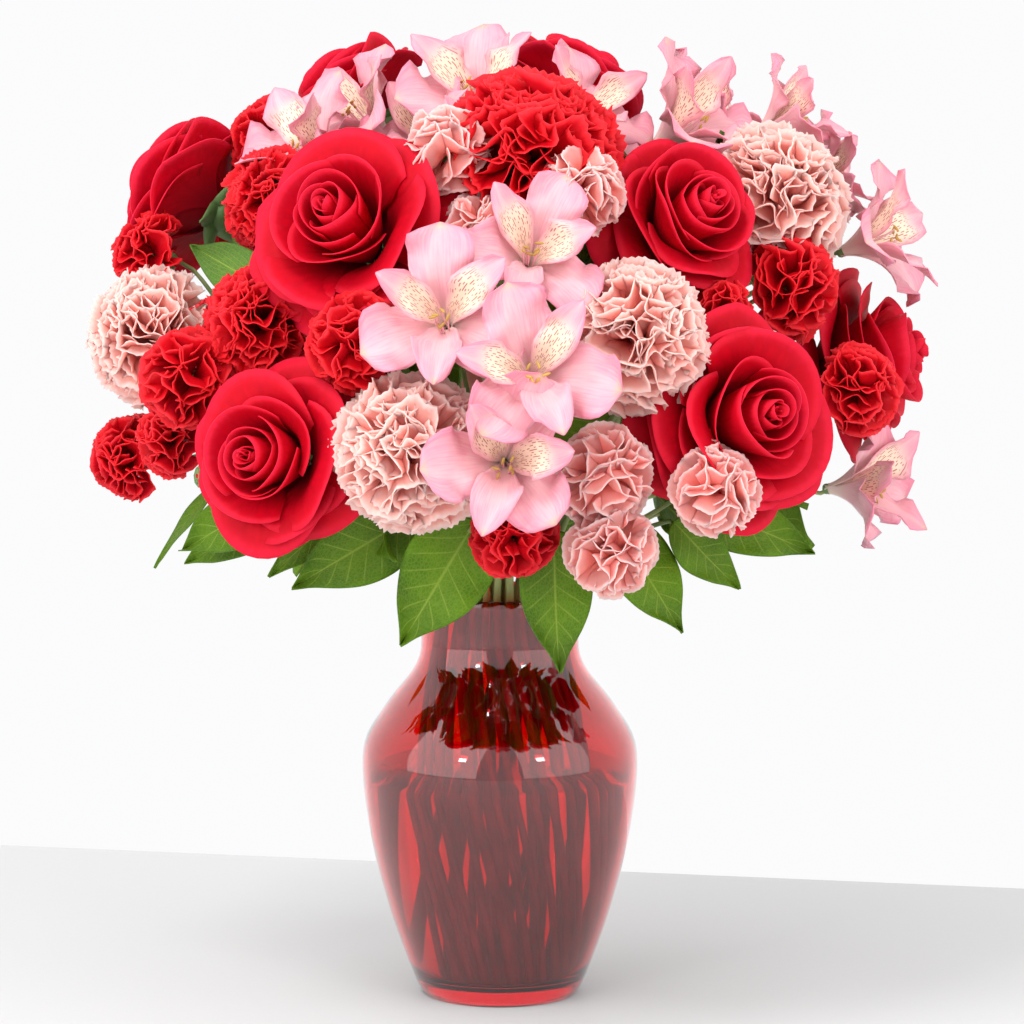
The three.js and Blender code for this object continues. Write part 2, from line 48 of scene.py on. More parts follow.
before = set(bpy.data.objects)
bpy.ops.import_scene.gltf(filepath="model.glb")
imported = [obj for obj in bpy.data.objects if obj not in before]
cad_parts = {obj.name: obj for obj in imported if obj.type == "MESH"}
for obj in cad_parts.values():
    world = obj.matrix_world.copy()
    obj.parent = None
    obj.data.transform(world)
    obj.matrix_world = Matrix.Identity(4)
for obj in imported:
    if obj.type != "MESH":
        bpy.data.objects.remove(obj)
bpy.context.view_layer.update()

# ------------------------------------------------------------------ the part's own sizes and places

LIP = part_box("vase")[1][2]
VASE = {
    "height": LIP,
    "foot": 0.038,
    "belly": 0.068,
    "belly_height": 0.122,
    "neck": 0.039,
    "neck_length": 0.038,
    "lip_flare": 0.0025,
    "wall": 0.003,
    "floor": 0.009,
}
WATER_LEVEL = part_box("water")[1][2]
LIP_ROUND = 0.0006
FLOOR_ROUND = 0.004
HOLLOW = 0.0015
WATER_CLEARANCE = 0.0008
GAP = 0.00035
DOME = {"radius": 0.190, "rise": 0.195}
HEART = Vector((0, 0, LIP + 0.075))
BUNCH = {"twist": 50, "fill": 0.45, "foot_clearance": 0.003, "sleeve": 0.003}
STEM_RADIUS = {"rose": 0.0026, "carnation": 0.0018, "mini": 0.0017, "alstroemeria": 0.0021, "green": 0.0019}
TWIG_RADIUS = 0.0012
GOING_IN = 0.005
APPROACH = 0.026
NECK_RINGS = [(1, 17), (0.7, 12), (0.4, 7), (0.13, 2)]
DEPTH = {"rose": 0.62, "carnation": 0.72, "mini": 0.8, "alstroemeria": 0.62, "bud": 1.7}
PETAL_THICKNESS = {"rose": 0.0005, "carnation": 0.0004, "mini": 0.0004, "alstroemeria": 0.0004}
FULLNESS = {"rose": 1.05, "carnation": 1.06, "mini": 1.08, "alstroemeria": 1.16}
BUD_PETAL_THICKNESS = 0.0003
# The calyx's width and height as shares of the flower's size, its sepals' number, their lean in degrees
# and their length as a share of the flower's size.
CALYX = {
    "rose": (0.10, 0.07, 5, 100, 0.36),
    "carnation": (0.115, 0.24, 5, 18, 0.1),
    "mini": (0.13, 0.27, 5, 20, 0.14),
    "alstroemeria": (0.05, 0.06, 3, 30, 0.06),
    "bud": (0.42, 1.25, 5, 6, 0.34),
}
LEAF_THICKNESS = 0.0006
MINI_FORWARD = 0.004
ROSE_PETALS = 31
MINI_PETALS = {"pink": 34, "red": 42}
MINI_RUFFLE = {"pink": 0.55, "red": 0.9}
ANY_PHASE = 6.28
FLECK_ROWS = 19
FILAMENT_RADIUS = 0.00042
ANTHER_RADII = (0.0007, 0.0007, 0.0022)

# Small leaves that fill the bunch's inside: how many a sprig has, and how far out their tips are.
FRONT_FILL = (6, 0.68, 0.76)
BACK_FILL = (13, 0.72, 0.86)
BEHIND = 100

# The studio's lamps: place, the point they face, width and height, and share of the main power.
LAMPS = {
    "left_softbox": ((-1.2, -1.0, 0.93), (0, 0, 0.6), (2.1, 1.85), 1.08),
    "right_softbox": ((1.2, -1.05, 0.93), (0, 0, 0.6), (2.0, 1.85), 0.8),
    "high_key": ((-0.55, -0.9, 1.75), (0, 0, 0.3), (0.5, 0.5), 0.8),
    "left_lamp": ((-0.62, -1.0, 0.62), (0, 0, 0.2), (0.13, 0.13), 0.06),
    "right_lamp": ((0.70, -1.0, 0.66), (0, 0, 0.2), (0.16, 0.16), 0.06),
}
# The table: its top and edges as [y, z] places, half its width, how far it is turned, and its grey.
TABLE_PROFILE = [(-1.6, -0.03), (-1.6, 0.0), (0.30, 0.0), (0.315, -0.004), (0.32, -0.03)]
TABLE_HALF_WIDTH, TABLE_TURN, TABLE_GREY = 1.8, -12, 0.66

# Flowers: bearing round the vase from the front, angle above the dome's middle, share of the dome's
# radius, and the open flower's diameter.
ROSES = {
    "upper_left": (-32, 39, 0.86, 0.092),
    "upper_right": (46, 42, 0.84, 0.078),
    "lower_left": (-38, 1, 0.86, 0.082),
    "lower_right": (42, 7, 0.86, 0.092),
    "far_left": (-98, 37, 1.02, 0.080),
    "top_left": (-120, 63, 0.96, 0.072),
    "top": (138, 72, 0.91, 0.072),
    "far_right": (92, 12, 0.95, 0.086),
    "back_left": (-150, 14, 0.88, 0.088),
    "back_right": (148, 26, 0.88, 0.088),
}
ROSE_TURNS = {"far_left": -34}

CARNATIONS = {
    "red_carnation_top": (9, 57, 0.86, 0.080),
    "red_carnation_left": (-52, 23, 0.82, 0.052),
    "red_carnation_upper_left": (-68, 45, 0.87, 0.048),
    "pink_carnation_right": (74, 40, 0.96, 0.068),
    "pink_carnation_far_left": (-78, 17, 0.95, 0.062),
    "pink_carnation_low": (-14, 3, 0.86, 0.066),
    "pink_carnation_centre": (24, 21, 0.86, 0.064),
    "red_carnation_back": (180, 52, 0.88, 0.076),
    "pink_carnation_back_low": (178, 4, 0.88, 0.068),
}

# Sprays: the fork's place, then each flower's. A size under BUD_SIZE is a closed bud.
BUD_SIZE = 0.02
ALSTROEMERIA = {
    "centre": (
        (0, 18, 0.46),
        [(-9, 23, 0.9, 0.058), (6, 34, 0.88, 0.054), (5, 14, 0.95, 0.060), (1, 2, 0.92, 0.060)],
    ),
    "top": (
        (-62, 66, 0.5),
        [(-22, 80, 0.87, 0.058), (-46, 72, 0.79, 0.050), (-72, 56, 0.88, 0.056), (-80, 67, 0.88, 0.054)],
    ),
    "upper_right": ((76, 62, 0.5), [(54, 73, 0.85, 0.052), (72, 59, 0.92, 0.060), (104, 56, 0.98, 0.052)]),
    "right": (
        (92, 32, 0.5),
        [(94, 48, 1.08, 0.050), (102, 37, 1.08, 0.050), (88, 28, 1.08, 0.058), (78, -6, 0.93, 0.054)],
    ),
    "back": (
        (176, 28, 0.48),
        [(180, 27, 0.92, 0.060), (-164, 40, 0.92, 0.056), (157, 46, 0.92, 0.056), (156, 3, 0.92, 0.054)],
    ),
}
RED_MINI_CARNATIONS = {
    "left": (
        (-71, 5, 0.5),
        [
            *[(-59, 12, 0.9, 0.044), (-86, 28, 1, 0.038), (-84, -2, 0.94, 0.038), (-70, 2, 0.86, 0.034)],
            *[(-64, 20, 0.82, 0.013), (-56, -3, 0.86, 0.013)],
        ],
    ),
    "front": ((-16, 4, 0.42), [(-25, 20, 0.84, 0.042), (3, -13, 0.72, 0.036)]),
    "right": ((64, 18, 0.48), [(66, 27, 0.88, 0.046), (48, 26, 0.8, 0.028), (70, 9, 0.95, 0.040)]),
    "back": ((-122, 22, 0.5), [(-99, 52, 0.95, 0.042), (-122, 14, 0.92, 0.042), (-124, 38, 0.9, 0.040)]),
}
PINK_MINI_CARNATIONS = {
    "top": ((2, 42, 0.45), [(-13, 54, 0.9, 0.040), (18, 45, 0.9, 0.038), (-4, 42, 0.8, 0.036)]),
    "low": ((22, -4, 0.44), [(17, -1, 0.84, 0.042), (33, -3, 0.94, 0.038), (18, -12, 0.88, 0.038)]),
    "back": ((124, 20, 0.5), [(124, 6, 0.92, 0.042), (120, 44, 0.88, 0.042), (118, 26, 0.92, 0.038)]),
}

MINI_CARNATIONS = {"red": RED_MINI_CARNATIONS, "pink": PINK_MINI_CARNATIONS}

# Leaves: the fork's place, then for each leaf where it starts and where its tip is, its width, and how
# far the tip droops out of its plane.
SPRIGS = {
    "salal_sprig_front": (
        (0, -30, 0.42),
        [
            ((-5, -12, 0.64), (-21, -33, 0.8), 0.044, 0.006),
            ((13, -16, 0.6), (14, -39, 0.8), 0.037, 0.005),
            ((-20, -12, 0.6), (-44, -23, 0.8), 0.038, 0.006),
            ((-36, -9, 0.6), (-50, -21, 0.8), 0.022, 0.004),
        ],
    ),
    "salal_sprig_right": (
        (50, -32, 0.42),
        [
            ((44, -8, 0.66), (62, -15, 0.92), 0.033, 0.004),
            ((28, -15, 0.62), (38, -29, 0.84), 0.034, 0.005),
            ((38, -12, 0.70), (50, -22, 0.84), 0.026, 0.005),
        ],
    ),
    "salal_sprig_left": (
        (-66, -30, 0.42),
        [
            ((-56, -8, 0.62), (-78, -17, 0.88), 0.034, 0.005),
            ((-68, -14, 0.6), (-84, -20, 0.88), 0.026, 0.005),
            ((-78, -6, 0.72), (-92, -19, 0.98), 0.010, 0.006),
        ],
    ),
    "ruscus_sprig_left": (
        (-74, 30, 0.5),
        [
            ((-56, 30, 0.76), (-76, 32, 0.96), 0.026, 0.006),
            ((-74, 36, 0.74), (-87, 42, 0.95), 0.022, 0.005),
            ((-84, 42, 0.74), (-83, 51, 0.93), 0.018, 0.005),
            ((-94, 17, 0.74), (-94, 23, 1.06), 0.012, 0.005),
        ],
    ),
    "ruscus_sprig_right": (
        (62, 50, 0.46),
        [
            ((64, 47, 0.68), (44, 62, 0.9), 0.022, 0.005),
            ((68, 48, 0.7), (72, 52, 0.98), 0.024, 0.005),
            ((112, 60, 0.6), (150, 60, 0.9), 0.020, 0.005),
        ],
    ),
    "salal_sprig_back_left": (
        (-140, -30, 0.42),
        [
            ((-166, -12, 0.62), (-178, -33, 0.82), 0.044, 0.006),
            ((-140, -12, 0.62), (-132, -27, 0.86), 0.038, 0.005),
            ((-122, -9, 0.64), (-108, -18, 0.9), 0.034, 0.005),
        ],
    ),
    "salal_sprig_back_right": (
        (136, -30, 0.42),
        [
            ((156, -13, 0.62), (162, -33, 0.82), 0.042, 0.006),
            ((134, -12, 0.62), (130, -26, 0.86), 0.038, 0.005),
            ((110, -9, 0.64), (102, -18, 0.9), 0.034, 0.005),
        ],
    ),
}

# ------------------------------------------------------------------ numbers that vary over a surface


class Field:
    """A number that varies over a surface. Arithmetic on it adds Math nodes to its tree."""

    def __init__(self, plan, socket):
        self.plan, self.socket = plan, socket

    def _math(self, operation, *others, clamp=False):
        node = self.plan.tree.nodes.new("ShaderNodeMath")
        node.operation, node.use_clamp = operation, clamp
        for entry, value in zip(node.inputs, (self, *others)):
            self.plan.feed(entry, value)
        return Field(self.plan, node.outputs[0])

    def __add__(self, other):
        return self._math("ADD", other)

    __radd__ = __add__

    def __mul__(self, other):
        return self._math("MULTIPLY", other)

    __rmul__ = __mul__

    def __sub__(self, other):
        return self._math("SUBTRACT", other)

    def __rsub__(self, other):
        return (self * -1) + other

    def __truediv__(self, other):
        return self._math("DIVIDE", other)

    def __pow__(self, other):
        return self._math("POWER", other)

    def sin(self):
        return self._math("SINE")

    def cos(self):
        return self._math("COSINE")

    def size(self):
        return self._math("ABSOLUTE")

    def root(self):
        return self._math("SQRT")

    def fraction(self):
        return self._math("FRACT")

    def whole(self):
        return self._math("ROUND")

    def over(self, other):
        return self._math("GREATER_THAN", other)

    def at_least(self, other):
        return self._math("MAXIMUM", other)

    def share(self, low, high):
        """0 at low, 1 at high, and straight between."""
        return ((self - low) / (high - low))._math("ADD", 0, clamp=True)

    def ease(self, low, high):
        """0 at low, 1 at high, and smooth between."""
        s = self.share(low, high)
        return s * s * (3 - 2 * s)


def degrees(angle):
    """Degrees as radians, for a number or a Field."""
    return angle * (math.pi / 180)


def turned(x, y, angle):
    """The point x, y turned about the origin by an angle."""
    c, s = angle.cos(), angle.sin()
    return x * c - y * s, x * s + y * c


class Plan:
    """A node tree while it is being built."""

    def __init__(self, tree):
        self.tree = tree

    def feed(self, entry, value):
        """Links a Field or a socket to an input, or sets its value."""
        if isinstance(value, Field):
            self.tree.links.new(value.socket, entry)
        elif isinstance(value, bpy.types.NodeSocket):
            self.tree.links.new(value, entry)
        else:
            entry.default_value = value

    def add(self, kind, entries=None, **settings):
        """Places a node; entries are its inputs by name, or by number where names repeat."""
        node = self.tree.nodes.new(kind)
        for name, value in settings.items():
            setattr(node, name, value)
        for name, value in (entries or {}).items():
            if isinstance(name, int):
                self.feed(node.inputs[name], value)
            else:
                self.feed(next(s for s in node.inputs if s.name == name and s.enabled), value)
        return node

    def number(self, kind, entries=None, output=0, **settings):
        """Places a node and gives one of its outputs as a Field."""
        return Field(self, self.add(kind, entries, **settings).outputs[output])

    def vector(self, x, y, z):
        return self.add("ShaderNodeCombineXYZ", {0: x, 1: y, 2: z}).outputs[0]

    def apart(self, vector):
        """A vector's x and y as Fields."""
        node = self.add("ShaderNodeSeparateXYZ", {0: vector})
        return Field(self, node.outputs[0]), Field(self, node.outputs[1])

    def noise(self, vector, detail, scale=1.0):
        return self.number("ShaderNodeTexNoise", {"Vector": vector, "Scale": scale, "Detail": detail})


# ------------------------------------------------------------------ Geometry Nodes: whorls of petals

GOLDEN_ANGLE = math.radians(137.508)


class Growth(Plan):
    """A Geometry Nodes tree with named inputs, which ends as one smooth mesh of one material."""

    def __init__(self, name, inputs):
        super().__init__(bpy.data.node_groups.new(name, "GeometryNodeTree"))
        sides = self.tree.interface
        sides.new_socket("Geometry", in_out="INPUT", socket_type="NodeSocketGeometry")
        for label, default in inputs.items():
            kind = "NodeSocketInt" if isinstance(default, int) else "NodeSocketFloat"
            sides.new_socket(label, in_out="INPUT", socket_type=kind).default_value = default
        sides.new_socket("Material", in_out="INPUT", socket_type="NodeSocketMaterial")
        sides.new_socket("Geometry", in_out="OUTPUT", socket_type="NodeSocketGeometry")
        self.entry = self.tree.nodes.new("NodeGroupInput")
        self.inputs = {label: Field(self, self.entry.outputs[label]) for label in inputs}

    def end(self, geometry):
        smooth = self.add("GeometryNodeSetShadeSmooth", {"Geometry": geometry, "Shade Smooth": True})
        dress = {"Geometry": smooth.outputs[0], "Material": self.entry.outputs["Material"]}
        last = self.add("GeometryNodeSetMaterial", dress)
        leave = self.tree.nodes.new("NodeGroupOutput")
        self.tree.links.new(last.outputs[0], leave.inputs[0])
        return self.tree


class Whorl(Growth):
    """A tree that grows petals from one sheet each, shaped by a rule of u, v and petal."""

    def __init__(self, name, inputs, columns, rows):
        super().__init__(name, inputs)
        points = self.add("GeometryNodePoints", {"Count": self.inputs["Petals"].socket})
        index = self.add("GeometryNodeInputIndex").outputs[0]
        numbered = self.store("petal", points.outputs[0], index)
        size = {"Size X": 2.0, "Size Y": 1.0, "Vertices X": columns, "Vertices Y": rows}
        sheet = self.add("GeometryNodeMeshGrid", size).outputs[0]
        copies = self.add("GeometryNodeInstanceOnPoints", {"Points": numbered, "Instance": sheet})
        self.real = self.add("GeometryNodeRealizeInstances", {"Geometry": copies.outputs[0]}).outputs[0]
        self.u, along = self.apart(self.add("GeometryNodeInputPosition").outputs[0])
        self.v = along + 0.5
        self.petal = self.number("GeometryNodeInputNamedAttribute", {"Name": "petal"}, data_type="FLOAT")
        self.t = self.petal / (self.inputs["Petals"] - 1).at_least(1)

    def store(self, label, geometry, value, kind="FLOAT", domain="POINT"):
        """Keeps a value on the geometry under a name."""
        entries = {"Geometry": geometry, "Name": label, "Value": value}
        return self.add("GeometryNodeStoreNamedAttribute", entries, data_type=kind, domain=domain).outputs[0]

    def chance(self, salt):
        """A random number from 0 to 1 for each petal, the same on every run."""
        entries = {"ID": self.petal.socket, "Seed": self.inputs["Seed"] + salt}
        node = self.add("FunctionNodeRandomValue", entries, data_type="FLOAT")
        return Field(self, next(s for s in node.outputs if s.enabled))

    def finish(self, x, y, z, shade=None):
        """Moves the sheets' points to their places, keeps u and v as the UV map, and ends the tree."""
        uv = self.vector(self.u * 0.5 + 0.5, self.v, 0.0)
        mapped = self.store("UVMap", self.real, uv, "FLOAT2", "CORNER")
        shaded = self.store("shade", mapped, self.t if shade is None else shade)
        moved = self.add("GeometryNodeSetPosition", {"Geometry": shaded, "Position": self.vector(x, y, z)})
        return self.end(moved.outputs[0])


def bent(start, bend, length, v):
    """How far out and up a sheet's edge is after v of its length, leaning by start and bending by bend."""
    middle = start + bend * v * 0.5
    chord = length * v * (1 - (bend * v) ** 2.0 / 24)
    return chord * middle.sin(), chord * middle.cos()


def rose_tree():
    """Nested petals: a tight spiral in the middle, cupped round it, and reflexed with folded rims outside."""
    w = Whorl("rose_petals", {"Petals": ROSE_PETALS, "Size": 0.09, "Open": 1.0, "Seed": 0}, 21, 14)
    u, t = w.u, w.t**1.2
    size, opening = w.inputs["Size"], w.inputs["Open"]
    radius = size * 0.5
    inner, outer = 1 - t, t.ease(0.3, 0.75)
    # The rim is highest in the petal's middle, which is a point on the outer petals.
    lean_side = u + 0.5 * (w.chance(8) - 0.5) * outer
    v = w.v * (1 - (0.13 + 0.14 * outer) * lean_side.size() ** (2.4 - 1.2 * outer))
    tilt = (w.chance(6) - 0.5) * 17 * t.ease(0.15, 0.6)
    start = degrees(4 + 54 * t**0.85 * opening + tilt * 0.6)
    end = degrees(-14 + 98 * t**1.5 * opening + tilt)
    length = radius * (1.22 - 0.24 * t**2.0 + 0.14 * (w.chance(1) - 0.5))
    out, up = bent(start, end - start, length, v)
    out = out + radius * (0.015 + 0.14 * t)
    lean = start + (end - start) * v
    # Outer rims fold back on both sides of the point, so that it stands out between two straight edges.
    fold = v.ease(0.62, 1.0) * t.ease(0.2, 0.55) * (0.5 + 0.8 * w.chance(4))
    side = lean_side.size() ** 1.4 * v.ease(0.35, 1.0) * t.ease(0.3, 0.75) * (0.5 + 1.0 * w.chance(5))
    wave = (u * 4.6 + w.chance(2) * ANY_PHASE).sin() * v * v * t.ease(0.1, 0.6) * 0.06
    back = radius * (fold * fold * 0.17 + side * 0.30 - wave)
    out = out * (1 + 0.16 * u * inner) - back * lean.cos() * -0.55 + radius * fold * 0.05
    up = up + radius * 0.10 - back * (0.35 + 0.65 * lean.sin())
    half = degrees(126 - 74 * t**0.6) * (0.42 + 0.58 * v.ease(0.0, 0.6))
    angle = w.petal * GOLDEN_ANGLE + w.chance(3) * 0.6 + half * u
    return w.finish(out * angle.cos(), out * angle.sin(), up)


def carnation_tree(name, teeth, columns, rows, fan, waves):
    """A ball of fan-shaped, ruffled and toothed petals from one point above the calyx."""
    w = Whorl(name, {"Petals": 58, "Size": 0.07, "Depth": 0.72, "Ruffle": 1.0, "Seed": 0}, columns, rows)
    u, t, size = w.u, w.t, w.inputs["Size"]
    radius, inner = size * 0.5, 1 - w.t
    step = (u + 1) * (0.5 * (columns - 1)) + 0.5
    tooth = (step * 0.5).fraction().over(0.5) * teeth * (0.6 + 0.8 * w.chance(9))
    v = w.v * (1 - tooth * w.v**4.0 - 0.10 * u.size() ** 3.0)
    length = radius * (1.12 + 0.18 * (w.chance(1) - 0.5)) * (0.92 + 0.08 * t)
    # The blade bends over to one side, so that its upper face shows below the rim.
    bend = v.ease(0.5, 1.0)
    reach = length * v * (1 - 0.10 * bend)
    spread = degrees(fan) * (0.30 + 0.70 * v.ease(0.0, 0.75))
    across = reach * (spread * u).sin()
    along = reach * (spread * u).cos()
    phase = w.chance(2) * ANY_PHASE
    ruffle = w.inputs["Ruffle"] * (0.10 + 0.10 * w.chance(3)) * length
    fold = ruffle * v**1.5 * (u * waves + phase).sin()
    fold = fold + ruffle * 0.42 * v**3.0 * (u * waves * 2.3 + phase * 3).sin()
    normal = fold + length * bend * (0.17 * inner + 0.16 * (w.chance(8) - 0.3)) - length * 0.12 * v * v * t
    twist = (w.chance(4) - 0.5) * degrees(330) * inner**0.6 + (w.chance(5) - 0.5) * 0.5
    across, normal = turned(across, normal, twist)
    lean = degrees(2 + 105 * t**0.68) + (w.chance(6) - 0.5) * 0.24
    out = along * lean.sin() + normal * lean.cos() + radius * 0.05
    up = along * lean.cos() - normal * lean.sin() + size * w.inputs["Depth"] * 0.36
    angle = w.petal * GOLDEN_ANGLE + w.chance(7) * 0.4
    x, y = turned(out, across, angle)
    return w.finish(x, y, up, v)


def alstroemeria_tree():
    """Six flaring petals: three broad outer ones, and between and in front of them three narrower."""
    w = Whorl("alstroemeria_petals", {"Petals": 6, "Size": 0.056, "Flare": 1.0, "Seed": 0}, 15, 17)
    u, v, size = w.u, w.v, w.inputs["Size"]
    outer = 1 - (w.petal * 0.5 + 0.25).fraction().share(0.4, 0.6)
    lowest = (1 - outer) * (1 - (w.petal - 3).size().share(0.4, 0.5))
    widest = size * (0.130 + 0.078 * outer + 0.03 * w.chance(1))
    peak = 0.58 + 0.12 * outer
    fall = (1 - v.share(peak, 1.0) ** (1.9 + 1.1 * outer)).at_least(0.0)
    notch = 1 - outer * 0.5 * v.ease(0.95, 1.0)
    half = widest * (0.16 + 0.84 * v.ease(0.05, 0.66)) * fall**0.72 * notch + size * 0.006
    bend = degrees(52 + 24 * outer + 26 * (w.chance(2) - 0.5)) * w.inputs["Flare"]
    length = size * (0.80 + 0.06 * w.chance(3) - 0.06 * outer)
    start = degrees(9 + 5 * outer)
    out, up = bent(start, bend, length, v)
    lean = start + bend * v
    frill = (v * 15 + u * 2.5 + w.chance(4) * ANY_PHASE).sin()
    frill = frill + (v * 27 + u * 4 + w.chance(7) * ANY_PHASE).sin() * 0.45
    frill = frill * u.size() ** 1.6 * v.ease(0.25, 0.7)
    cup = half * (u * u * (0.60 - 0.55 * v) + frill * 0.30 + (w.chance(6) - 0.5) * u * v * 0.7)
    keel = size * 0.010 * (1 - (u * 3).size().share(0, 1)) * v.ease(0.1, 0.4) * (1 - v.ease(0.8, 1.0))
    lift = cup - keel + size * 0.012 * (1 - outer)
    out = out + size * 0.028 - lift * lean.cos()
    up = up + size * 0.02 + lift * lean.sin()
    angle = w.petal * (math.pi / 3) + math.pi / 2 + (w.chance(5) - 0.5) * 0.2
    x, y = turned(out, half * (1 + frill * 0.06) * u, angle)
    # The shade says which petal it is: 1 for the two upper inner ones, half for the lower inner one.
    return w.finish(x, y, up, (1 - outer) * (1 - lowest * 0.5))


def sepal_tree():
    """A cup of pointed green sepals under a flower."""
    inputs = {"Petals": 5, "Size": 0.05, "Length": 0.5, "Lean": 60.0, "Width": 0.16, "Seed": 0}
    w = Whorl("sepals", inputs, 5, 8)
    u, v, size = w.u, w.v, w.inputs["Size"]
    half = size * w.inputs["Width"] * (1 - v.ease(0.25, 1.0) * 0.93)
    start = degrees(w.inputs["Lean"])
    out, up = bent(start, degrees(30 * (w.chance(1) - 0.2)), size * w.inputs["Length"], v)
    up = up + half * u * u * 0.5
    across = half * u * (0.6 + 0.4 * v.ease(0, 0.2))
    x, y = turned(out + size * 0.01, across, w.petal * (2 * math.pi) / w.inputs["Petals"])
    return w.finish(x, y, up)


def blade_tree():
    """One leaf: an ovate sheet folded a little along its midrib, with a waved edge and a drooping tip."""
    inputs = {"Petals": 1, "Length": 0.06, "Width": 0.04, "Droop": 0.006, "Wave": 1.0, "Slim": 0.72, "Seed": 0}
    w = Whorl("leaf_blade", inputs, 17, 30)
    u, v = w.u, w.v
    length, width = w.inputs["Length"], w.inputs["Width"]
    swell = ((v ** w.inputs["Slim"]) * math.pi).sin().at_least(0.0) ** 0.82
    point = v.ease(0.72, 1.0) * 0.28
    notch = 1 - 0.018 * (v * 30).fraction() * u.size() ** 3.0
    half = width * 0.52 * (swell * (1 - 0.18 * v) * (1 - point)).at_least(0.012) * notch
    wave = w.inputs["Wave"] * width
    edge = wave * 0.05 * (v * 13 + w.chance(1) * ANY_PHASE + u * 1.5).sin() * u.size() ** 1.5
    cup = width * 0.10 * u.size() + edge + wave * 0.035 * (v * 6 + w.chance(2) * ANY_PHASE).sin()
    vein = width * 0.006 * (1 - ((v * 8 - u.size() * 1.6).fraction() - 0.5).size() * 2) * u.size().share(0, 0.2)
    lift = cup - vein - w.inputs["Droop"] * v * v
    return w.finish(half * u, length * v, lift)


# ------------------------------------------------------------------ Geometry Nodes: stalks and stamens


def stalk_tree():
    """Round stalks along every spline of a curve, each point's radius its own."""
    g = Growth("stalks", {"Spacing": 0.007, "Sides": 8})
    spaced = {"Curve": g.entry.outputs["Geometry"], "Length": g.entry.outputs["Spacing"]}
    even = g.add("GeometryNodeResampleCurve", spaced, mode="LENGTH").outputs[0]
    around = g.add("GeometryNodeCurvePrimitiveCircle", {"Resolution": g.entry.outputs["Sides"], "Radius": 1.0})
    thickness = g.add("GeometryNodeInputRadius").outputs[0]
    swept = {"Curve": even, "Profile Curve": around.outputs[0], "Scale": thickness, "Fill Caps": True}
    tube = g.add("GeometryNodeCurveToMesh", swept)
    return g.end(g.add("GeometryNodeRealizeInstances", {"Geometry": tube.outputs[0]}).outputs[0])


def placed(name, data):
    """An object with this data, in the scene."""
    piece = bpy.data.objects.new(name, data)
    bpy.context.scene.collection.objects.link(piece)
    return piece


def plain_mesh(name, bm, material, smooth=True):
    """The mesh of what bmesh holds, with one material."""
    for face in bm.faces:
        face.smooth = smooth
    mesh = bpy.data.meshes.new(name)
    bm.to_mesh(mesh)
    bm.free()
    mesh.materials.append(material)
    return mesh


def turned_mesh(name, rings, around, material):
    """A closed solid of revolution about Z through [radius, height] rings, with flat or pointed ends."""
    bm = bmesh.new()
    loops = []
    for r, z in rings:
        angles = [2 * math.pi * k / around for k in range(around if r else 1)]
        loops.append([bm.verts.new((r * math.cos(a), r * math.sin(a), z)) for a in angles])
    for low, high in zip(loops, loops[1:]):
        for k in range(around):
            m = (k + 1) % around
            corners = [low[k % len(low)], low[m % len(low)], high[m % len(high)], high[k % len(high)]]
            bm.faces.new(dict.fromkeys(corners))
    for cap in (loops[0][::-1], loops[-1]):
        if len(cap) > 1:
            bm.faces.new(cap)
    bmesh.ops.recalc_face_normals(bm, faces=bm.faces)
    return plain_mesh(name, bm, material)


def threads(name, routes):
    """A curve object with a spline for each route: its points, and its radius at the start and at the end."""
    data = bpy.data.curves.new(name, "CURVE")
    data.dimensions = "3D"
    for points, thick, thin in routes:
        spline = data.splines.new("POLY")
        spline.points.add(len(points) - 1)
        for i, point in enumerate(points):
            spline.points[i].co = (*point, 1)
            spline.points[i].radius = thick + (thin - thick) * i / (len(points) - 1)
    return bpy.data.objects.new(name, data)


def grown(tree, values, source=None):
    """The plain mesh that a tree makes with these inputs."""
    holder = source or bpy.data.objects.new("grown", bpy.data.meshes.new("grown"))
    bpy.context.scene.collection.objects.link(holder)
    modifier = holder.modifiers.new("Tree", "NODES")
    modifier.node_group = tree
    named = {s.name: s.identifier for s in tree.interface.items_tree if s.in_out == "INPUT"}
    for label, value in values.items():
        modifier[named[label]] = value
    depsgraph = bpy.context.evaluated_depsgraph_get()
    mesh = bpy.data.meshes.new_from_object(holder.evaluated_get(depsgraph), depsgraph=depsgraph)
    data = holder.data
    bpy.data.objects.remove(holder)
    if isinstance(data, bpy.types.Mesh):
        bpy.data.meshes.remove(data)
    else:
        bpy.data.curves.remove(data)
    return mesh


def joined(name, meshes):
    """One object of several meshes, which are used up."""
    materials = []
    bm = bmesh.new()
    for mesh in meshes:
        shift = len(materials)
        materials += list(mesh.materials)
        first = len(bm.faces)
        bm.from_mesh(mesh)
        bm.faces.ensure_lookup_table()
        for face in bm.faces[first:]:
            face.material_index += shift
        bpy.data.meshes.remove(mesh)
    slots = list(dict.fromkeys(materials))
    for face in bm.faces:
        face.material_index = slots.index(materials[face.material_index])
    whole = bpy.data.meshes.new(name)
    bm.to_mesh(whole)
    bm.free()
    for material in slots:
        whole.materials.append(material)
    return placed(name, whole)


def thickened(mesh, thickness):
    """A sheet given a wall, as a closed plain mesh."""
    holder = placed("thin", mesh)
    wall = holder.modifiers.new("Wall", "SOLIDIFY")
    wall.thickness, wall.offset = thickness, 0
    depsgraph = bpy.context.evaluated_depsgraph_get()
    closed = bpy.data.meshes.new_from_object(holder.evaluated_get(depsgraph), depsgraph=depsgraph)
    bpy.data.objects.remove(holder)
    bpy.data.meshes.remove(mesh)
    return closed


def set_up(piece, node):
    """Puts a finished piece on the part: it moves with it and stands for one of its nodes."""
    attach(piece, "root")
    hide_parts(node)


# ------------------------------------------------------------------ the bunch's layout


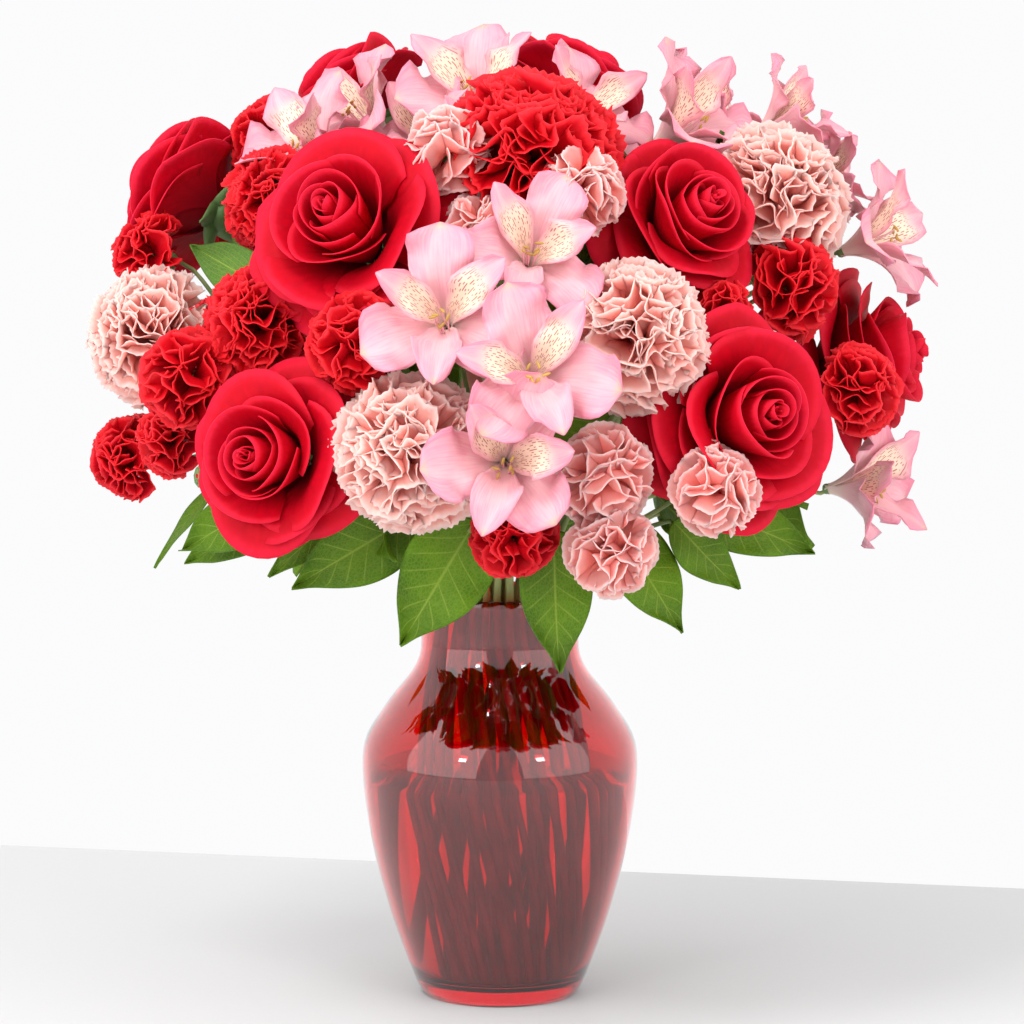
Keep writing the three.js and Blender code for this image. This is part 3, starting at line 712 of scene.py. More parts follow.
def on_dome(bearing, height, reach):
    """A place on the bouquet's round outline."""
    a, e = math.radians(bearing), math.radians(height)
    across = DOME["radius"] * reach * math.cos(e)
    return HEART + Vector((across * math.sin(a), -across * math.cos(a), DOME["rise"] * reach * math.sin(e)))


def facing(bearing, height, turn=0):
    """The way a flower looks: outward, nodding a little, and those at the sides turned to the front."""
    a = math.radians(bearing - 14 * math.sin(math.radians(bearing)) + turn)
    e = math.radians(max(6, 0.5 * height + 7))
    return Vector((math.cos(e) * math.sin(a), -math.cos(e) * math.cos(a), math.sin(e)))


class Bloom:
    """One flower's place: its base, the way it looks, and the matrix that puts a flower there upright."""

    def __init__(self, kind, place, turn=0):
        bearing, height, reach, self.size = place
        self.kind, self.look = kind, facing(bearing, height, turn)
        self.base = on_dome(bearing, height, reach) - self.look * (DEPTH[kind] * self.size / 2)
        if kind == "mini":
            self.base += self.look * MINI_FORWARD
        side = Vector((0, 0, 1)).cross(self.look).normalized()
        rows = Matrix((side, self.look.cross(side), self.look)).transposed()
        self.matrix = Matrix.Translation(self.base) @ rows.to_4x4()

    def place(self, mesh):
        mesh.transform(self.matrix)
        return mesh


def curve_through(points, count):
    """Evenly spaced points on a smooth curve through the given ones."""
    p = np.array([list(q) for q in points], float)
    padded = np.vstack([2 * p[0] - p[1], p, 2 * p[-1] - p[-2]])
    fine = []
    for i in range(len(p) - 1):
        a, b, c, d = padded[i : i + 4]
        s = np.linspace(0, 1, 24, endpoint=False)[:, None]
        square, cube = 2 * a - 5 * b + 4 * c - d, 3 * b - a - 3 * c + d
        fine.append(0.5 * (2 * b + (c - a) * s + square * s**2 + cube * s**3))
    fine = np.vstack([*fine, p[-1:]])
    run = np.concatenate([[0], np.cumsum(np.linalg.norm(np.diff(fine, axis=0), axis=1))])
    at = np.linspace(0, run[-1], count)
    return np.stack([np.interp(at, run, fine[:, k]) for k in range(fine.shape[1])], axis=1)


def vase_outline(count):
    """The vase's outer outline from foot to lip, as [radius, height] rows."""
    v = VASE
    swell, narrow = v["belly"] - v["foot"], v["belly"] - v["neck"]
    shoulder = v["height"] - v["neck_length"]
    return curve_through(
        [
            (v["foot"], 0),
            (v["foot"] + 0.14 * swell, 0.055 * v["belly_height"]),
            (v["foot"] + 0.56 * swell, 0.34 * v["belly_height"]),
            (v["foot"] + 0.9 * swell, 0.68 * v["belly_height"]),
            (v["belly"], v["belly_height"]),
            (v["neck"] + 0.62 * narrow, (v["belly_height"] + shoulder) / 2 + 0.002),
            (v["neck"] + 0.1 * narrow, shoulder + 0.002),
            (v["neck"], v["height"] - 0.55 * v["neck_length"]),
            (v["neck"] + v["lip_flare"], v["height"]),
        ],
        count,
    )


OUTLINE = vase_outline(16)


def inner_radius(height):
    return float(np.interp(height, OUTLINE[:, 1], OUTLINE[:, 0])) - VASE["wall"]


def bunch_point(radius, bearing, t):
    """Where a stem is in the vase, t from its neck to its foot: all turn and spread by one rule."""
    top = VASE["height"] - VASE["neck_length"] / 2
    z = top + (VASE["floor"] + BUNCH["foot_clearance"] - top) * t
    glass = inner_radius(z) - STEM_RADIUS["rose"] - BUNCH["sleeve"]
    spread = 1 + (max(1, glass / BUNDLE) - 1) * BUNCH["fill"]
    a = math.radians(bearing + BUNCH["twist"] * t)
    return Vector((radius * spread * math.sin(a), -radius * spread * math.cos(a), z))


BUNDLE = VASE["neck"] - VASE["wall"] - STEM_RADIUS["rose"] - BUNCH["sleeve"]


class Stem:
    """One cut stem with its twigs: where it leads, and the points that it follows."""

    all = []

    def __init__(self, kind, bearing, height, end, approach):
        self.radius = STEM_RADIUS[kind]
        self.bearing, self.height, self.end, self.approach = bearing, height, end, approach
        self.twigs = []
        Stem.all.append(self)

    def points(self):
        lip = bunch_point(*self.neck, 0)
        lip.z = VASE["height"] + 0.006
        above = lip.lerp(self.approach, 0.45) + Vector((0, 0, 0.006))
        in_vase = [bunch_point(*self.neck, t) for t in (1, 0.8, 0.6, 0.4, 0.2, 0)]
        return [*in_vase, lip, above, self.approach, self.end]

    def mesh(self, material):
        routes = [(self.points(), self.radius, self.radius)]
        routes += [(twig, TWIG_RADIUS * 1.3, TWIG_RADIUS * 0.85) for twig in self.twigs]
        smooth = [(curve_through(points, 6 * len(points)), thick, thin) for points, thick, thin in routes]
        return grown(TREES["stalk"], {"Material": material}, threads("stalk", smooth))


def pushed_apart(bearings, step):
    """Bearings moved apart, in their own order, until neighbours are at least a step apart."""
    az = list(bearings)
    for _ in range(400):
        for i in range(len(az)):
            j = (i + 1) % len(az)
            short = max(0, (step - (az[j] - az[i] + (360 if j == 0 else 0))) / 2)
            az[i] -= short
            az[j] += short
    return az


def fill_neck():
    """Gives each stem its place in the neck, low outer flowers outside and top ones in the middle."""
    low_first = sorted(Stem.all, key=lambda s: s.height)
    first = 0
    for share, slots in NECK_RINGS:
        ring = sorted(low_first[first : first + slots], key=lambda s: s.bearing)
        first += slots
        radius = BUNDLE * share
        step = math.degrees(2 * math.asin((STEM_RADIUS["rose"] + GAP) / radius))
        for stem, bearing in zip(ring, pushed_apart([s.bearing for s in ring], step)):
            stem.neck = (radius, bearing)


def single(kind, place, turn=0):
    """A flower on a stem of its own, which comes up straight behind it."""
    bloom = Bloom(kind, place, turn)
    end, approach = bloom.base + bloom.look * GOING_IN, bloom.base - bloom.look * APPROACH
    stem = Stem(kind, place[0], place[1], end, approach)
    return {"stem": stem, "blooms": [bloom]}


def forked(kind, fork):
    end = on_dome(*fork)
    return Stem(kind, fork[0], fork[1], end, end.lerp(Vector((0, 0, LIP)), 0.3))


def spray(kind, fork, places):
    """A stem with a fork, and a twig from there to each flower."""
    stem = forked(kind, fork)
    blooms = [Bloom("bud" if place[3] < BUD_SIZE else kind, place) for place in places]
    for b in blooms:
        bow = stem.end.lerp(b.base, 0.55) - b.look * 0.004
        stem.twigs.append([stem.end, bow, b.base - b.look * 0.009, b.base + b.look * GOING_IN])
    return {"stem": stem, "blooms": blooms}


def sprig(fork, leaves):
    """A stem with a fork, and a twig from there to each leaf, small inner ones included."""
    stem = forked("green", fork)
    chance = random.Random(round(fork[0] * 7 + fork[1]))
    inner = []
    count, nearest, furthest = FRONT_FILL if abs(fork[0]) < BEHIND else BACK_FILL
    for k in range(count):
        bearing, height = fork[0] + chance.uniform(-38, 38), -14 + 72 * k / count + chance.uniform(-6, 6)
        reach = chance.uniform(nearest, furthest)
        tip = (bearing + chance.uniform(-24, 24), height + chance.uniform(-8, 18), reach)
        inner.append(((bearing, height, chance.uniform(0.44, 0.5)), tip, chance.uniform(0.026, 0.036), 0.004))
    leaves = [*leaves, *inner]
    for start, tip, *_ in leaves:
        a, b = on_dome(*start), on_dome(*tip)
        stem.twigs.append([stem.end, stem.end.lerp(a, 0.6), a, a.lerp(b, 0.1)])
    return {"stem": stem, "leaves": leaves}


def lay_out():
    """Every stem of the bouquet, in the part's own order, which settles their places in the neck."""
    bunch = {name: sprig(*made) for name, made in SPRIGS.items()}
    bunch |= {f"rose_{at}": single("rose", place, ROSE_TURNS.get(at, 0)) for at, place in ROSES.items()}
    bunch |= {name: single("carnation", place) for name, place in CARNATIONS.items()}
    bunch |= {f"alstroemeria_spray_{at}": spray("alstroemeria", *made) for at, made in ALSTROEMERIA.items()}
    for colour, sprays in MINI_CARNATIONS.items():
        bunch |= {f"{colour}_mini_carnation_spray_{at}": spray("mini", *made) for at, made in sprays.items()}
    fill_neck()
    return bunch


BUNCHED = lay_out()
TREES = {}

# ------------------------------------------------------------------ materials


def shader_group(name, inputs, outputs):
    """An empty shader node group, with its plan, its inputs as Fields and its exit node."""
    tree = bpy.data.node_groups.new(name, "ShaderNodeTree")
    for label, default in inputs.items():
        kind = "NodeSocketVector" if isinstance(default, tuple) else "NodeSocketFloat"
        tree.interface.new_socket(label, in_out="INPUT", socket_type=kind).default_value = default
    for label in outputs:
        tree.interface.new_socket(label, in_out="OUTPUT", socket_type="NodeSocketFloat")
    plan = Plan(tree)
    entry = tree.nodes.new("NodeGroupInput")
    leave = tree.nodes.new("NodeGroupOutput")
    return plan, {label: Field(plan, entry.outputs[label]) for label in inputs}, leave


def petal_grain_group():
    """Fine lines that run from a petal's base to its rim, softly mottled."""
    inputs = {"UV": (0.0, 0.0, 0.0), "Lines": 40.0, "Mottle": 3.0}
    plan, given, leave = shader_group("petal_grain", inputs, ["Grain", "Height"])
    u, v = plan.apart(given["UV"])
    fan = (u - 0.5) * (1.25 - 0.5 * v)
    lines = plan.noise(plan.vector(fan * given["Lines"], v * 3, 0.0), 3.0)
    mottle = plan.noise(plan.vector(u * given["Mottle"], v * given["Mottle"], 0.4), 2.0)
    plan.feed(leave.inputs[0], (lines - 0.5) * 0.9 + (mottle - 0.5) * 0.7 + 0.5)
    plan.feed(leave.inputs[1], lines)


def leaf_vein_group():
    """A leaf's midrib and the curved veins that leave it, with a fine net between them."""
    inputs = {"UV": (0.0, 0.0, 0.0), "Veins": 8.0, "Sweep": 1.5}
    plan, given, leave = shader_group("leaf_veins", inputs, ["Vein", "Net"])
    u, v = plan.apart(given["UV"])
    side = ((u - 0.5) * 2).size()
    midrib = 1 - side.share(0.012, 0.05)
    bow = v * given["Veins"] - side ** 0.8 * given["Sweep"]
    near = ((bow + 0.5).fraction() - 0.5).size()
    veins = (1 - near.share(0.01, 0.075)) * (1 - side.share(0.7, 0.95)) * 0.75
    net = plan.number(
        "ShaderNodeTexVoronoi",
        {"Vector": plan.vector(side * 14, v * 34, 0.0), "Scale": 1.0},
        feature="DISTANCE_TO_EDGE",
    )
    plan.feed(leave.inputs[0], midrib.at_least(veins))
    plan.feed(leave.inputs[1], 1 - net.share(0.0, 0.2))


class Finish(Plan):
    """A material while it is being built, with its Principled shader."""

    def __init__(self, name, **constants):
        self.material = bpy.data.materials.new(name)
        self.material.use_nodes = True
        super().__init__(self.material.node_tree)
        self.shader = self.tree.nodes["Principled BSDF"]
        for label, value in constants.items():
            self.shader.inputs[label.replace("_", " ")].default_value = value

    def uv(self):
        return self.add("ShaderNodeUVMap", uv_map="UVMap").outputs[0]

    def object_noise(self, scale, detail):
        """Noise that is fixed to the object."""
        return self.noise(self.add("ShaderNodeTexCoord").outputs["Object"], detail, scale)

    def shade(self):
        return Field(self, self.add("ShaderNodeAttribute", attribute_name="shade").outputs["Fac"])

    def group(self, name, entries):
        node = self.tree.nodes.new("ShaderNodeGroup")
        node.node_tree = bpy.data.node_groups[name]
        for label, value in entries.items():
            self.feed(node.inputs[label], value)
        return node

    def mixed(self, share, low, high):
        """A colour between two, each a colour or another mix."""
        node = self.tree.nodes.new("ShaderNodeMix")
        node.data_type = "RGBA"
        self.feed(node.inputs[0], share)
        for entry, value in ((node.inputs[6], low), (node.inputs[7], high)):
            self.feed(entry, value if isinstance(value, bpy.types.NodeSocket) else (*value[:3], 1.0))
        return node.outputs[2]

    def end(self, colour, roughness=None, height=None, strength=0.2, distance=0.0005):
        self.feed(self.shader.inputs["Base Color"], colour)
        if roughness is not None:
            self.feed(self.shader.inputs["Roughness"], roughness)
        if height is not None:
            bump = self.add("ShaderNodeBump", {"Height": height, "Strength": strength, "Distance": distance})
            self.feed(self.shader.inputs["Normal"], bump.outputs[0])
        return self.material


def petal_finish(name, deep, body, rim, deep_colour_and_shade_span=(0.1, 0.75), rim_and_highlight_from=0.86, roughness=0.5, glow=0.0, lines=30.0):
    """A petal: deeper at its base, which fades into the body, paler at the rim, with fine lines. The deeper base
    is partly the petal's own colour and partly painted shade in the flower's depth and creases, and on the pink
    petals painted glow of light through them; the paler rim is partly the petal's own edge colour and, on the
    red petals, partly a painted highlight.
    """
    f = Finish(name, Specular_IOR_Level=0.10)
    f.shader.inputs["Subsurface Weight"].default_value = glow
    f.shader.inputs["Subsurface Radius"].default_value = (1.0, 0.5, 0.45)
    f.shader.inputs["Subsurface Scale"].default_value = 0.009
    uv = f.uv()
    v = f.apart(uv)[1]
    grain = f.group("petal_grain", {"UV": uv, "Lines": lines, "Mottle": 3.0})
    lined = Field(f, grain.outputs["Grain"])
    # Painted shade: the deep colour at the base and in the creases stands in for shade there, and on pink petals
    # for light through them, besides the petal's own deeper colour.
    base = f.mixed(v.ease(*deep_colour_and_shade_span), deep, body)
    tone = f.mixed(lined.share(0.2, 0.85) * 0.5, base, deep)
    # Painted highlight: on the red petals the paler rim stands in for light along the rims, besides the petal's
    # own paler edge.
    colour = f.mixed((v + (lined - 0.5) * 0.16).ease(rim_and_highlight_from, 1.02), tone, rim)
    return f.end(colour, roughness + (lined - 0.5) * 0.25, Field(f, grain.outputs["Height"]), 0.35, 0.0003)


def alstroemeria_finish(name, look):
    """Pale pink with a cream throat, lilac rims, and maroon dashes on the two upper inner petals."""
    f = Finish(name, Sheen_Weight=0.25, Sheen_Roughness=0.4, Specular_IOR_Level=0.3)
    uv = f.uv()
    u, v = f.apart(uv)
    side = ((u - 0.5) * 2).size()
    grain = f.group("petal_grain", {"UV": uv, "Lines": 34.0, "Mottle": 4.0})
    lined = Field(f, grain.outputs["Grain"])
    inner = f.shade()
    upper = inner.share(0.6, 0.9)
    streak = (1 - inner) * (1 - side.share(0.1, 0.7)) * lined.share(0.35, 0.75)
    streak = streak * v.ease(0.15, 0.3) * (1 - v.ease(0.5, 0.85))
    blush = (v * 0.8 + side * 0.5 + (lined - 0.5) * 0.9).ease(0.42, 1.40)
    body = f.mixed(blush + streak * 0.55, look.pale_pink, look.rim_pink)
    throat = f.mixed((1 - v.ease(0.05, 0.42)) * 0.8, body, look.cream)
    yellow = upper * v.ease(0.15, 0.3) * (1 - v.ease(0.62, 0.86)) * (1 - side.share(0.55, 1.0))
    patched = f.mixed(yellow * 0.7, throat, look.yellow)
    row = u * FLECK_ROWS
    dashes = f.noise(f.vector((row - 0.5).whole() * 7.3, v * FLECK_ROWS, 0.0), 0.0)
    thin = 1 - (row.fraction() - 0.5).size().share(0.10, 0.28)
    fleck = thin * dashes.share(0.5, 0.55) * v.ease(0.18, 0.26) * (1 - v.ease(0.66, 0.82))
    fleck = fleck * (1 - side.share(0.7, 0.95))
    flecked = f.mixed(fleck * upper * 0.85, patched, look.fleck)
    tip = f.mixed(v.ease(0.9, 1.0) * (1 - side.share(0.2, 0.8)) * (1 - upper) * 0.55, flecked, look.tip_green)
    return f.end(tip, 0.45 + (lined - 0.5) * 0.2, Field(f, grain.outputs["Height"]), 0.3, 0.0003)


def leaf_finish(name, dark, light, vein, veins=8.0, sweep=1.5, gloss=0.36):
    """A leaf: patches of two greens, with paler raised ribs and a fine net between them."""
    f = Finish(name, Specular_IOR_Level=0.16)
    uv = f.uv()
    lines = f.group("leaf_veins", {"UV": uv, "Veins": veins, "Sweep": sweep})
    ribbed, net = Field(f, lines.outputs["Vein"]), Field(f, lines.outputs["Net"])
    patch = f.object_noise(38.0, 4.0)
    side = ((f.apart(uv)[0] - 0.5) * 2).size()
    blade = f.mixed(patch.share(0.3, 0.72), dark, light)
    netted = f.mixed(net * 0.18 + (1 - side) * 0.08, blade, vein)
    colour = f.mixed(ribbed * 0.5, netted, vein)
    return f.end(colour, gloss + patch * 0.16, ribbed * -0.7 + net * 0.25, 0.5, 0.0005)


def stalk_finish(name, light, dark, specks=220.0, roughness=0.45):
    """A stalk or other small part: two tones in blotches, with fine specks in its bump."""
    f = Finish(name, Specular_IOR_Level=0.35)
    blotch, fine = f.object_noise(45.0, 3.0), f.object_noise(specks, 2.0)
    colour = f.mixed(blotch.share(0.3, 0.7), dark, light)
    return f.end(colour, roughness + (fine - 0.5) * 0.2, fine, 0.2, 0.0003)


def ruby_glass(look):
    """Clear glass coloured through, with a glossy coat and faint waves."""
    f = Finish("ruby_glass", Roughness=0.012, IOR=1.5, Transmission_Weight=1.0, Coat_Weight=1.0, Coat_IOR=1.5)
    f.shader.inputs["Coat Roughness"].default_value = 0.02
    swirl = f.object_noise(22.0, 1.0)
    deep = [c * 0.86 for c in look.glass_colour]
    return f.end(f.mixed(swirl.share(0.35, 0.65), look.glass_colour, deep), None, swirl, 0.05, 0.0006)


def clear_water():
    """Water with a faint haze."""
    f = Finish("clear_water", Roughness=0.0, IOR=1.33, Transmission_Weight=1.0)
    haze = f.object_noise(14.0, 1.0)
    return f.end(f.mixed(haze.share(0.3, 0.7), (0.97, 0.97, 0.96), (0.94, 0.95, 0.93)))


def finishes():
    """Every material, made once from the panel's colours."""
    petal_grain_group()
    leaf_vein_group()
    scene = bpy.context.scene
    r, c, a, g = scene.bouquet_roses, scene.bouquet_carnations, scene.bouquet_alstroemeria, scene.bouquet_greens
    # The carnations' deep colour reaches up into the creases: partly their own colour, partly painted shade
    # there, and on the pink petals painted glow of light through them.
    crease_colour_and_shade_span = (0.42, 0.96)
    return {
        "rose": petal_finish("rose_petal", r.deep, r.body, r.rim, roughness=0.58, glow=0.12, lines=26.0),
        "red": petal_finish("red_petal", c.red_deep_and_shade, c.red_body, c.red_rim_and_highlight, crease_colour_and_shade_span, 0.86, 0.45, 0.25),
        "pink": petal_finish("pink_petal", c.pink_deep_and_crease_glow, c.pink_body, c.pink_rim, crease_colour_and_shade_span, 0.88, glow=0.6),
        "mini": petal_finish("pink_mini_petal", c.pink_deep_and_crease_glow, c.mini_body, c.mini_rim, crease_colour_and_shade_span, 0.88, glow=0.6),
        "alstroemeria": alstroemeria_finish("alstroemeria_petal", a),
        "anther": stalk_finish("anther", (0.62, 0.40, 0.10), (0.36, 0.20, 0.05), 900.0, 0.8),
        "filament": stalk_finish("filament", (0.90, 0.62, 0.62), (0.80, 0.42, 0.48), 500.0),
        "salal": leaf_finish("salal_leaf", g.salal_dark, g.salal_light, g.vein),
        "ruscus": leaf_finish("ruscus_leaf", g.ruscus_dark, g.ruscus_light, g.vein, 5.0, 5.0, 0.32),
        "stalk": stalk_finish("flower_stem", g.stalk_light, g.stalk_dark),
        "calyx": stalk_finish("calyx", (0.22, 0.36, 0.13), (0.11, 0.22, 0.07), 300.0, 0.5),
    }


MATERIALS = {}


def prepare():
    """Makes the trees and materials the first time that a piece asks for them."""
    if TREES:
        return
    TREES.update(
        rose=rose_tree(),
        carnation=carnation_tree("carnation_petals", 0.034, 25, 8, 35, 3.9),
        mini=carnation_tree("mini_carnation_petals", 0.026, 19, 8, 40, 3.2),
        alstroemeria=alstroemeria_tree(),
        sepals=sepal_tree(),
        blade=blade_tree(),
        stalk=stalk_tree(),
    )
    MATERIALS.update(finishes())


# ------------------------------------------------------------------ flowers


def calyx(bloom):
    """A green cup under a flower, with its sepals."""
    wide, high, sepals, lean, length = CALYX[bloom.kind]
    width, height = bloom.size * wide, bloom.size * high
    outline = [(0.45, 0.0), (0.8, 0.12), (1.0, 0.45), (0.92, 0.8), (1.05, 1.0), (0.5, 0.98)]
    rings = [(width * share, height * up) for share, up in outline]
    cup = turned_mesh("cup", rings, 10, MATERIALS["calyx"])
    values = {"Petals": sepals, "Size": bloom.size, "Lean": lean, "Length": length}
    values |= {"Material": MATERIALS["calyx"], "Width": 0.9 * width / bloom.size, "Seed": int(bloom.size * 1e4)}
    leaves = thickened(grown(TREES["sepals"], values), LEAF_THICKNESS)
    leaves.transform(Matrix.Translation((0, 0, height * 0.8)))
    return [bloom.place(cup), bloom.place(leaves)]


def petals(kind, bloom, material, roll=0.0, **values):
    """A flower's petals from its tree, turned about the flower's axis by roll and put in its place."""
    closed = bloom.kind == "bud"
    fullness = 1.0 if closed else FULLNESS[kind]
    values = {label.capitalize(): value for label, value in values.items()}
    mesh = grown(TREES[kind], {"Size": bloom.size * fullness, "Material": MATERIALS[material], **values})
    mesh.transform(Matrix.Rotation(roll, 4, "Z"))
    return bloom.place(thickened(mesh, BUD_PETAL_THICKNESS if closed else PETAL_THICKNESS[kind]))


def stamens(bloom, seed):
    """Six thin filaments that curve out of the throat, each with its anther."""
    chance = random.Random(seed)
    size = bloom.size
    routes, tips = [], []
    for k in range(6):
        a = 2 * math.pi * k / 6 + chance.uniform(-0.3, 0.3)
        spread = size * chance.uniform(0.03, 0.09)
        x, y = spread * math.cos(a), spread * math.sin(a)
        sag = size * chance.uniform(0.04, 0.10)
        reach = size * chance.uniform(0.46, 0.56)
        throat, middle = (x * 0.2, y * 0.2, size * 0.04), (x * 0.7, y * 0.7 - sag, reach * 0.55)
        smooth = curve_through([throat, middle, (x, y - sag * 0.7, reach)], 9)
        routes.append((smooth, FILAMENT_RADIUS, FILAMENT_RADIUS))
        tips.append(Vector(smooth[-1]))
    values = {"Spacing": 0.004, "Sides": 5, "Material": MATERIALS["filament"]}
    filaments = grown(TREES["stalk"], values, threads("filaments", routes))
    bm = bmesh.new()
    for tip in tips:
        turn = Matrix.Rotation(chance.uniform(0, math.pi), 4, "Z")
        turn = turn @ Matrix.Rotation(chance.uniform(0.7, 1.5), 4, "X")
        shape = Matrix.Translation(tip) @ turn @ Matrix.Diagonal((*ANTHER_RADII, 1))
        bmesh.ops.create_icosphere(bm, subdivisions=2, radius=1, matrix=shape)
    return [bloom.place(filaments), bloom.place(plain_mesh("anthers", bm, MATERIALS["anther"]))]


def bud_meshes(bloom, colour):
    """A closed bud: a plump green calyx with a little of the petals showing at its mouth."""
    tuft = Bloom("bud", (0, 0, 0, bloom.size))
    tuft.size, tuft.look = bloom.size * 0.9, bloom.look
    tuft.matrix = bloom.matrix @ Matrix.Translation((0, 0, bloom.size * 0.95))
    return [*calyx(bloom), petals("mini", tuft, colour, petals=5, depth=0.1, ruffle=0.6, seed=3)]


def rose_head(bloom, seed, opening):
    return [petals("rose", bloom, "rose", petals=ROSE_PETALS, open=opening, seed=seed)]


def carnation_head(bloom, seed, colour):
    count = round(42 + bloom.size * 560)
    return [petals("carnation", bloom, colour, petals=count, depth=0.76, ruffle=1.0, seed=seed)]


def mini_head(bloom, seed, colour):
    values = {"petals": MINI_PETALS[colour], "depth": 0.86, "ruffle": MINI_RUFFLE[colour], "seed": seed}
    return [petals("mini", bloom, "mini" if colour == "pink" else colour, **values)]


def alstroemeria_head(bloom, seed):
    chance = random.Random(seed)
    flare, roll = chance.uniform(0.85, 1.1), chance.uniform(-0.4, 0.4)
    head = petals("alstroemeria", bloom, "alstroemeria", roll, petals=6, flare=flare, seed=seed)
    return [head, *stamens(bloom, seed)]


def leaf_mesh(leaf, material, seed, slim):
    """A leaf from where its stalk ends to its tip, its upper side outward."""
    start, tip = on_dome(*leaf[0]), on_dome(*leaf[1])
    width, droop = leaf[2:]
    along = (tip - start).normalized()
    outward = (start.lerp(tip, 0.5) - HEART).normalized()
    normal = (outward - along * outward.dot(along)).normalized()
    rows = Matrix((along.cross(normal), along, normal)).transposed()
    values = {"Petals": 1, "Length": (tip - start).length, "Width": width, "Droop": droop, "Slim": slim}
    mesh = thickened(grown(TREES["blade"], {**values, "Seed": seed, "Material": material}), LEAF_THICKNESS)
    mesh.transform(Matrix.Translation(start) @ rows.to_4x4())
    return mesh


def build_flower(name, slot, head, *choice):
    """One cut stem: its petals as one piece, and its stalk and calyxes as another."""
    made = BUNCHED[name]
    heads, greens = [], [made["stem"].mesh(MATERIALS["stalk"])]
    for k, bloom in enumerate(made["blooms"]):
        if bloom.kind == "bud":
            greens += bud_meshes(bloom, "red")
            continue
        heads += head(bloom, seed_of(name, k), *choice)
        greens += calyx(bloom)
    set_up(joined(f"{name}_petals", heads), name)
    set_up(joined(f"{name}_stalk", greens), name)


def seed_of(name, k):
    """A fixed seed for a stem's flower or leaf number k."""
    return sum(ord(letter) for letter in name) % 900 + 17 * k


# ------------------------------------------------------------------ the panel's sizes and colours


def colour_prop(name, description, default):
    bounds = {"size": 3, "min": 0, "max": 1}
    return FloatVectorProperty(name=name, description=description, default=default, subtype="COLOR", **bounds)


class VaseLook(bpy.types.PropertyGroup):
    """The vase's glass and its water."""

    glass_colour: colour_prop("Glass", "Colour of light through the glass", (0.86, 0.004, 0.014))
    sides: IntProperty(name="Sides", description="Facets round the vase", default=128, min=24, max=256)


class RoseLook(bpy.types.PropertyGroup):
    """The roses' petals."""

    # Partly the roses' own deep red and partly painted shade deep in the flower.
    deep: colour_prop("Deep red", "Colour deep in the flower", (0.20, 0.0006, 0.006))
    body: colour_prop("Red", "Colour of a petal's face", (0.64, 0.0015, 0.014))
    # Partly the petals' own paler edge and partly a painted highlight along the rims.
    rim: colour_prop("Rim red", "Colour of a petal's rolled rim", (0.74, 0.010, 0.034))
    open: FloatProperty(name="Open", description="How far the roses have opened", default=1.0, min=0.5, max=1.2)


class CarnationLook(bpy.types.PropertyGroup):
    """The carnations' petals, large and mini."""

    # Partly the red carnations' own deeper colour and partly painted shade in their creases.
    red_deep_and_shade: colour_prop("Deep scarlet", "Colour deep in a red carnation", (0.40, 0.001, 0.006))
    red_body: colour_prop("Scarlet", "Colour of a red carnation", (0.66, 0.004, 0.010))
    # Partly the edge's own colour and partly a painted highlight along the toothed edges.
    red_rim_and_highlight: colour_prop("Scarlet rim", "Colour at a red carnation's toothed edge", (0.86, 0.016, 0.024))
    # Partly the pink carnations' own salmon and partly painted shade and glow of light through the petals in the
    # creases; the pink mini carnations use it too.
    pink_deep_and_crease_glow: colour_prop("Salmon", "Colour deep in a pink carnation", (0.95, 0.24, 0.20))
    pink_body: colour_prop("Pink", "Colour of a pink carnation", (0.95, 0.43, 0.37))
    pink_rim: colour_prop("Pale rim", "Colour at a pink carnation's toothed edge", (0.95, 0.54, 0.48))
    mini_body: colour_prop("Mini pink", "Colour of a pink mini carnation", (0.94, 0.33, 0.31))
    mini_rim: colour_prop("Mini rim", "Colour at a pink mini carnation's edge", (0.94, 0.50, 0.47))


class AlstroemeriaLook(bpy.types.PropertyGroup):
    """The alstroemeria's petals."""

    pale_pink: colour_prop("Pale pink", "Colour of a petal's middle", (0.86, 0.47, 0.50))
    rim_pink: colour_prop("Rim pink", "Colour of a petal's edge and veins", (0.80, 0.23, 0.34))
    cream: colour_prop("Cream", "Colour in the throat", (0.93, 0.80, 0.70))
    yellow: colour_prop("Yellow", "Colour of the flecked petals' patch", (0.95, 0.84, 0.58))
    fleck: colour_prop("Fleck", "Colour of the dashes", (0.30, 0.012, 0.03))
    tip_green: colour_prop("Tip", "Colour at the outer petals' tips", (0.42, 0.44, 0.18))


class GreensLook(bpy.types.PropertyGroup):
    """Leaves and stalks."""

    salal_dark: colour_prop("Salal dark", "Darker green of a broad leaf", (0.034, 0.105, 0.002))
    salal_light: colour_prop("Salal light", "Lighter green of a broad leaf", (0.105, 0.235, 0.003))
    ruscus_dark: colour_prop("Ruscus dark", "Darker green of a pointed leaf", (0.022, 0.075, 0.010))
    ruscus_light: colour_prop("Ruscus light", "Lighter green of a pointed leaf", (0.065, 0.17, 0.022))
    vein: colour_prop("Vein", "Colour of ribs and veins", (0.32, 0.44, 0.06))
    stalk_light: colour_prop("Stalk light", "Lighter green of a stalk", (0.46, 0.50, 0.20))
    stalk_dark: colour_prop("Stalk dark", "Darker green of a stalk", (0.12, 0.21, 0.05))


class StudioLook(bpy.types.PropertyGroup):
    """The camera and the lights."""

    distance: FloatProperty(name="Distance", description="Camera to aim", default=1.8, min=0.5, unit="LENGTH")
    lens: FloatProperty(name="Lens", description="Focal length in millimetres", default=129.0, min=20, max=300)
    rise: FloatProperty(name="Rise", description="Camera above its aim", default=0.189, unit="LENGTH")
    aim: FloatVectorProperty(name="Aim", description="Point looked at", default=(0.006, 0, 0.240), subtype="XYZ")
    key: FloatProperty(name="Key", description="Main light's power in watts", default=15.0, min=0)
    backdrop: FloatProperty(name="Backdrop", description="Brightness all round", default=0.98, min=0)


# ------------------------------------------------------------------ operators


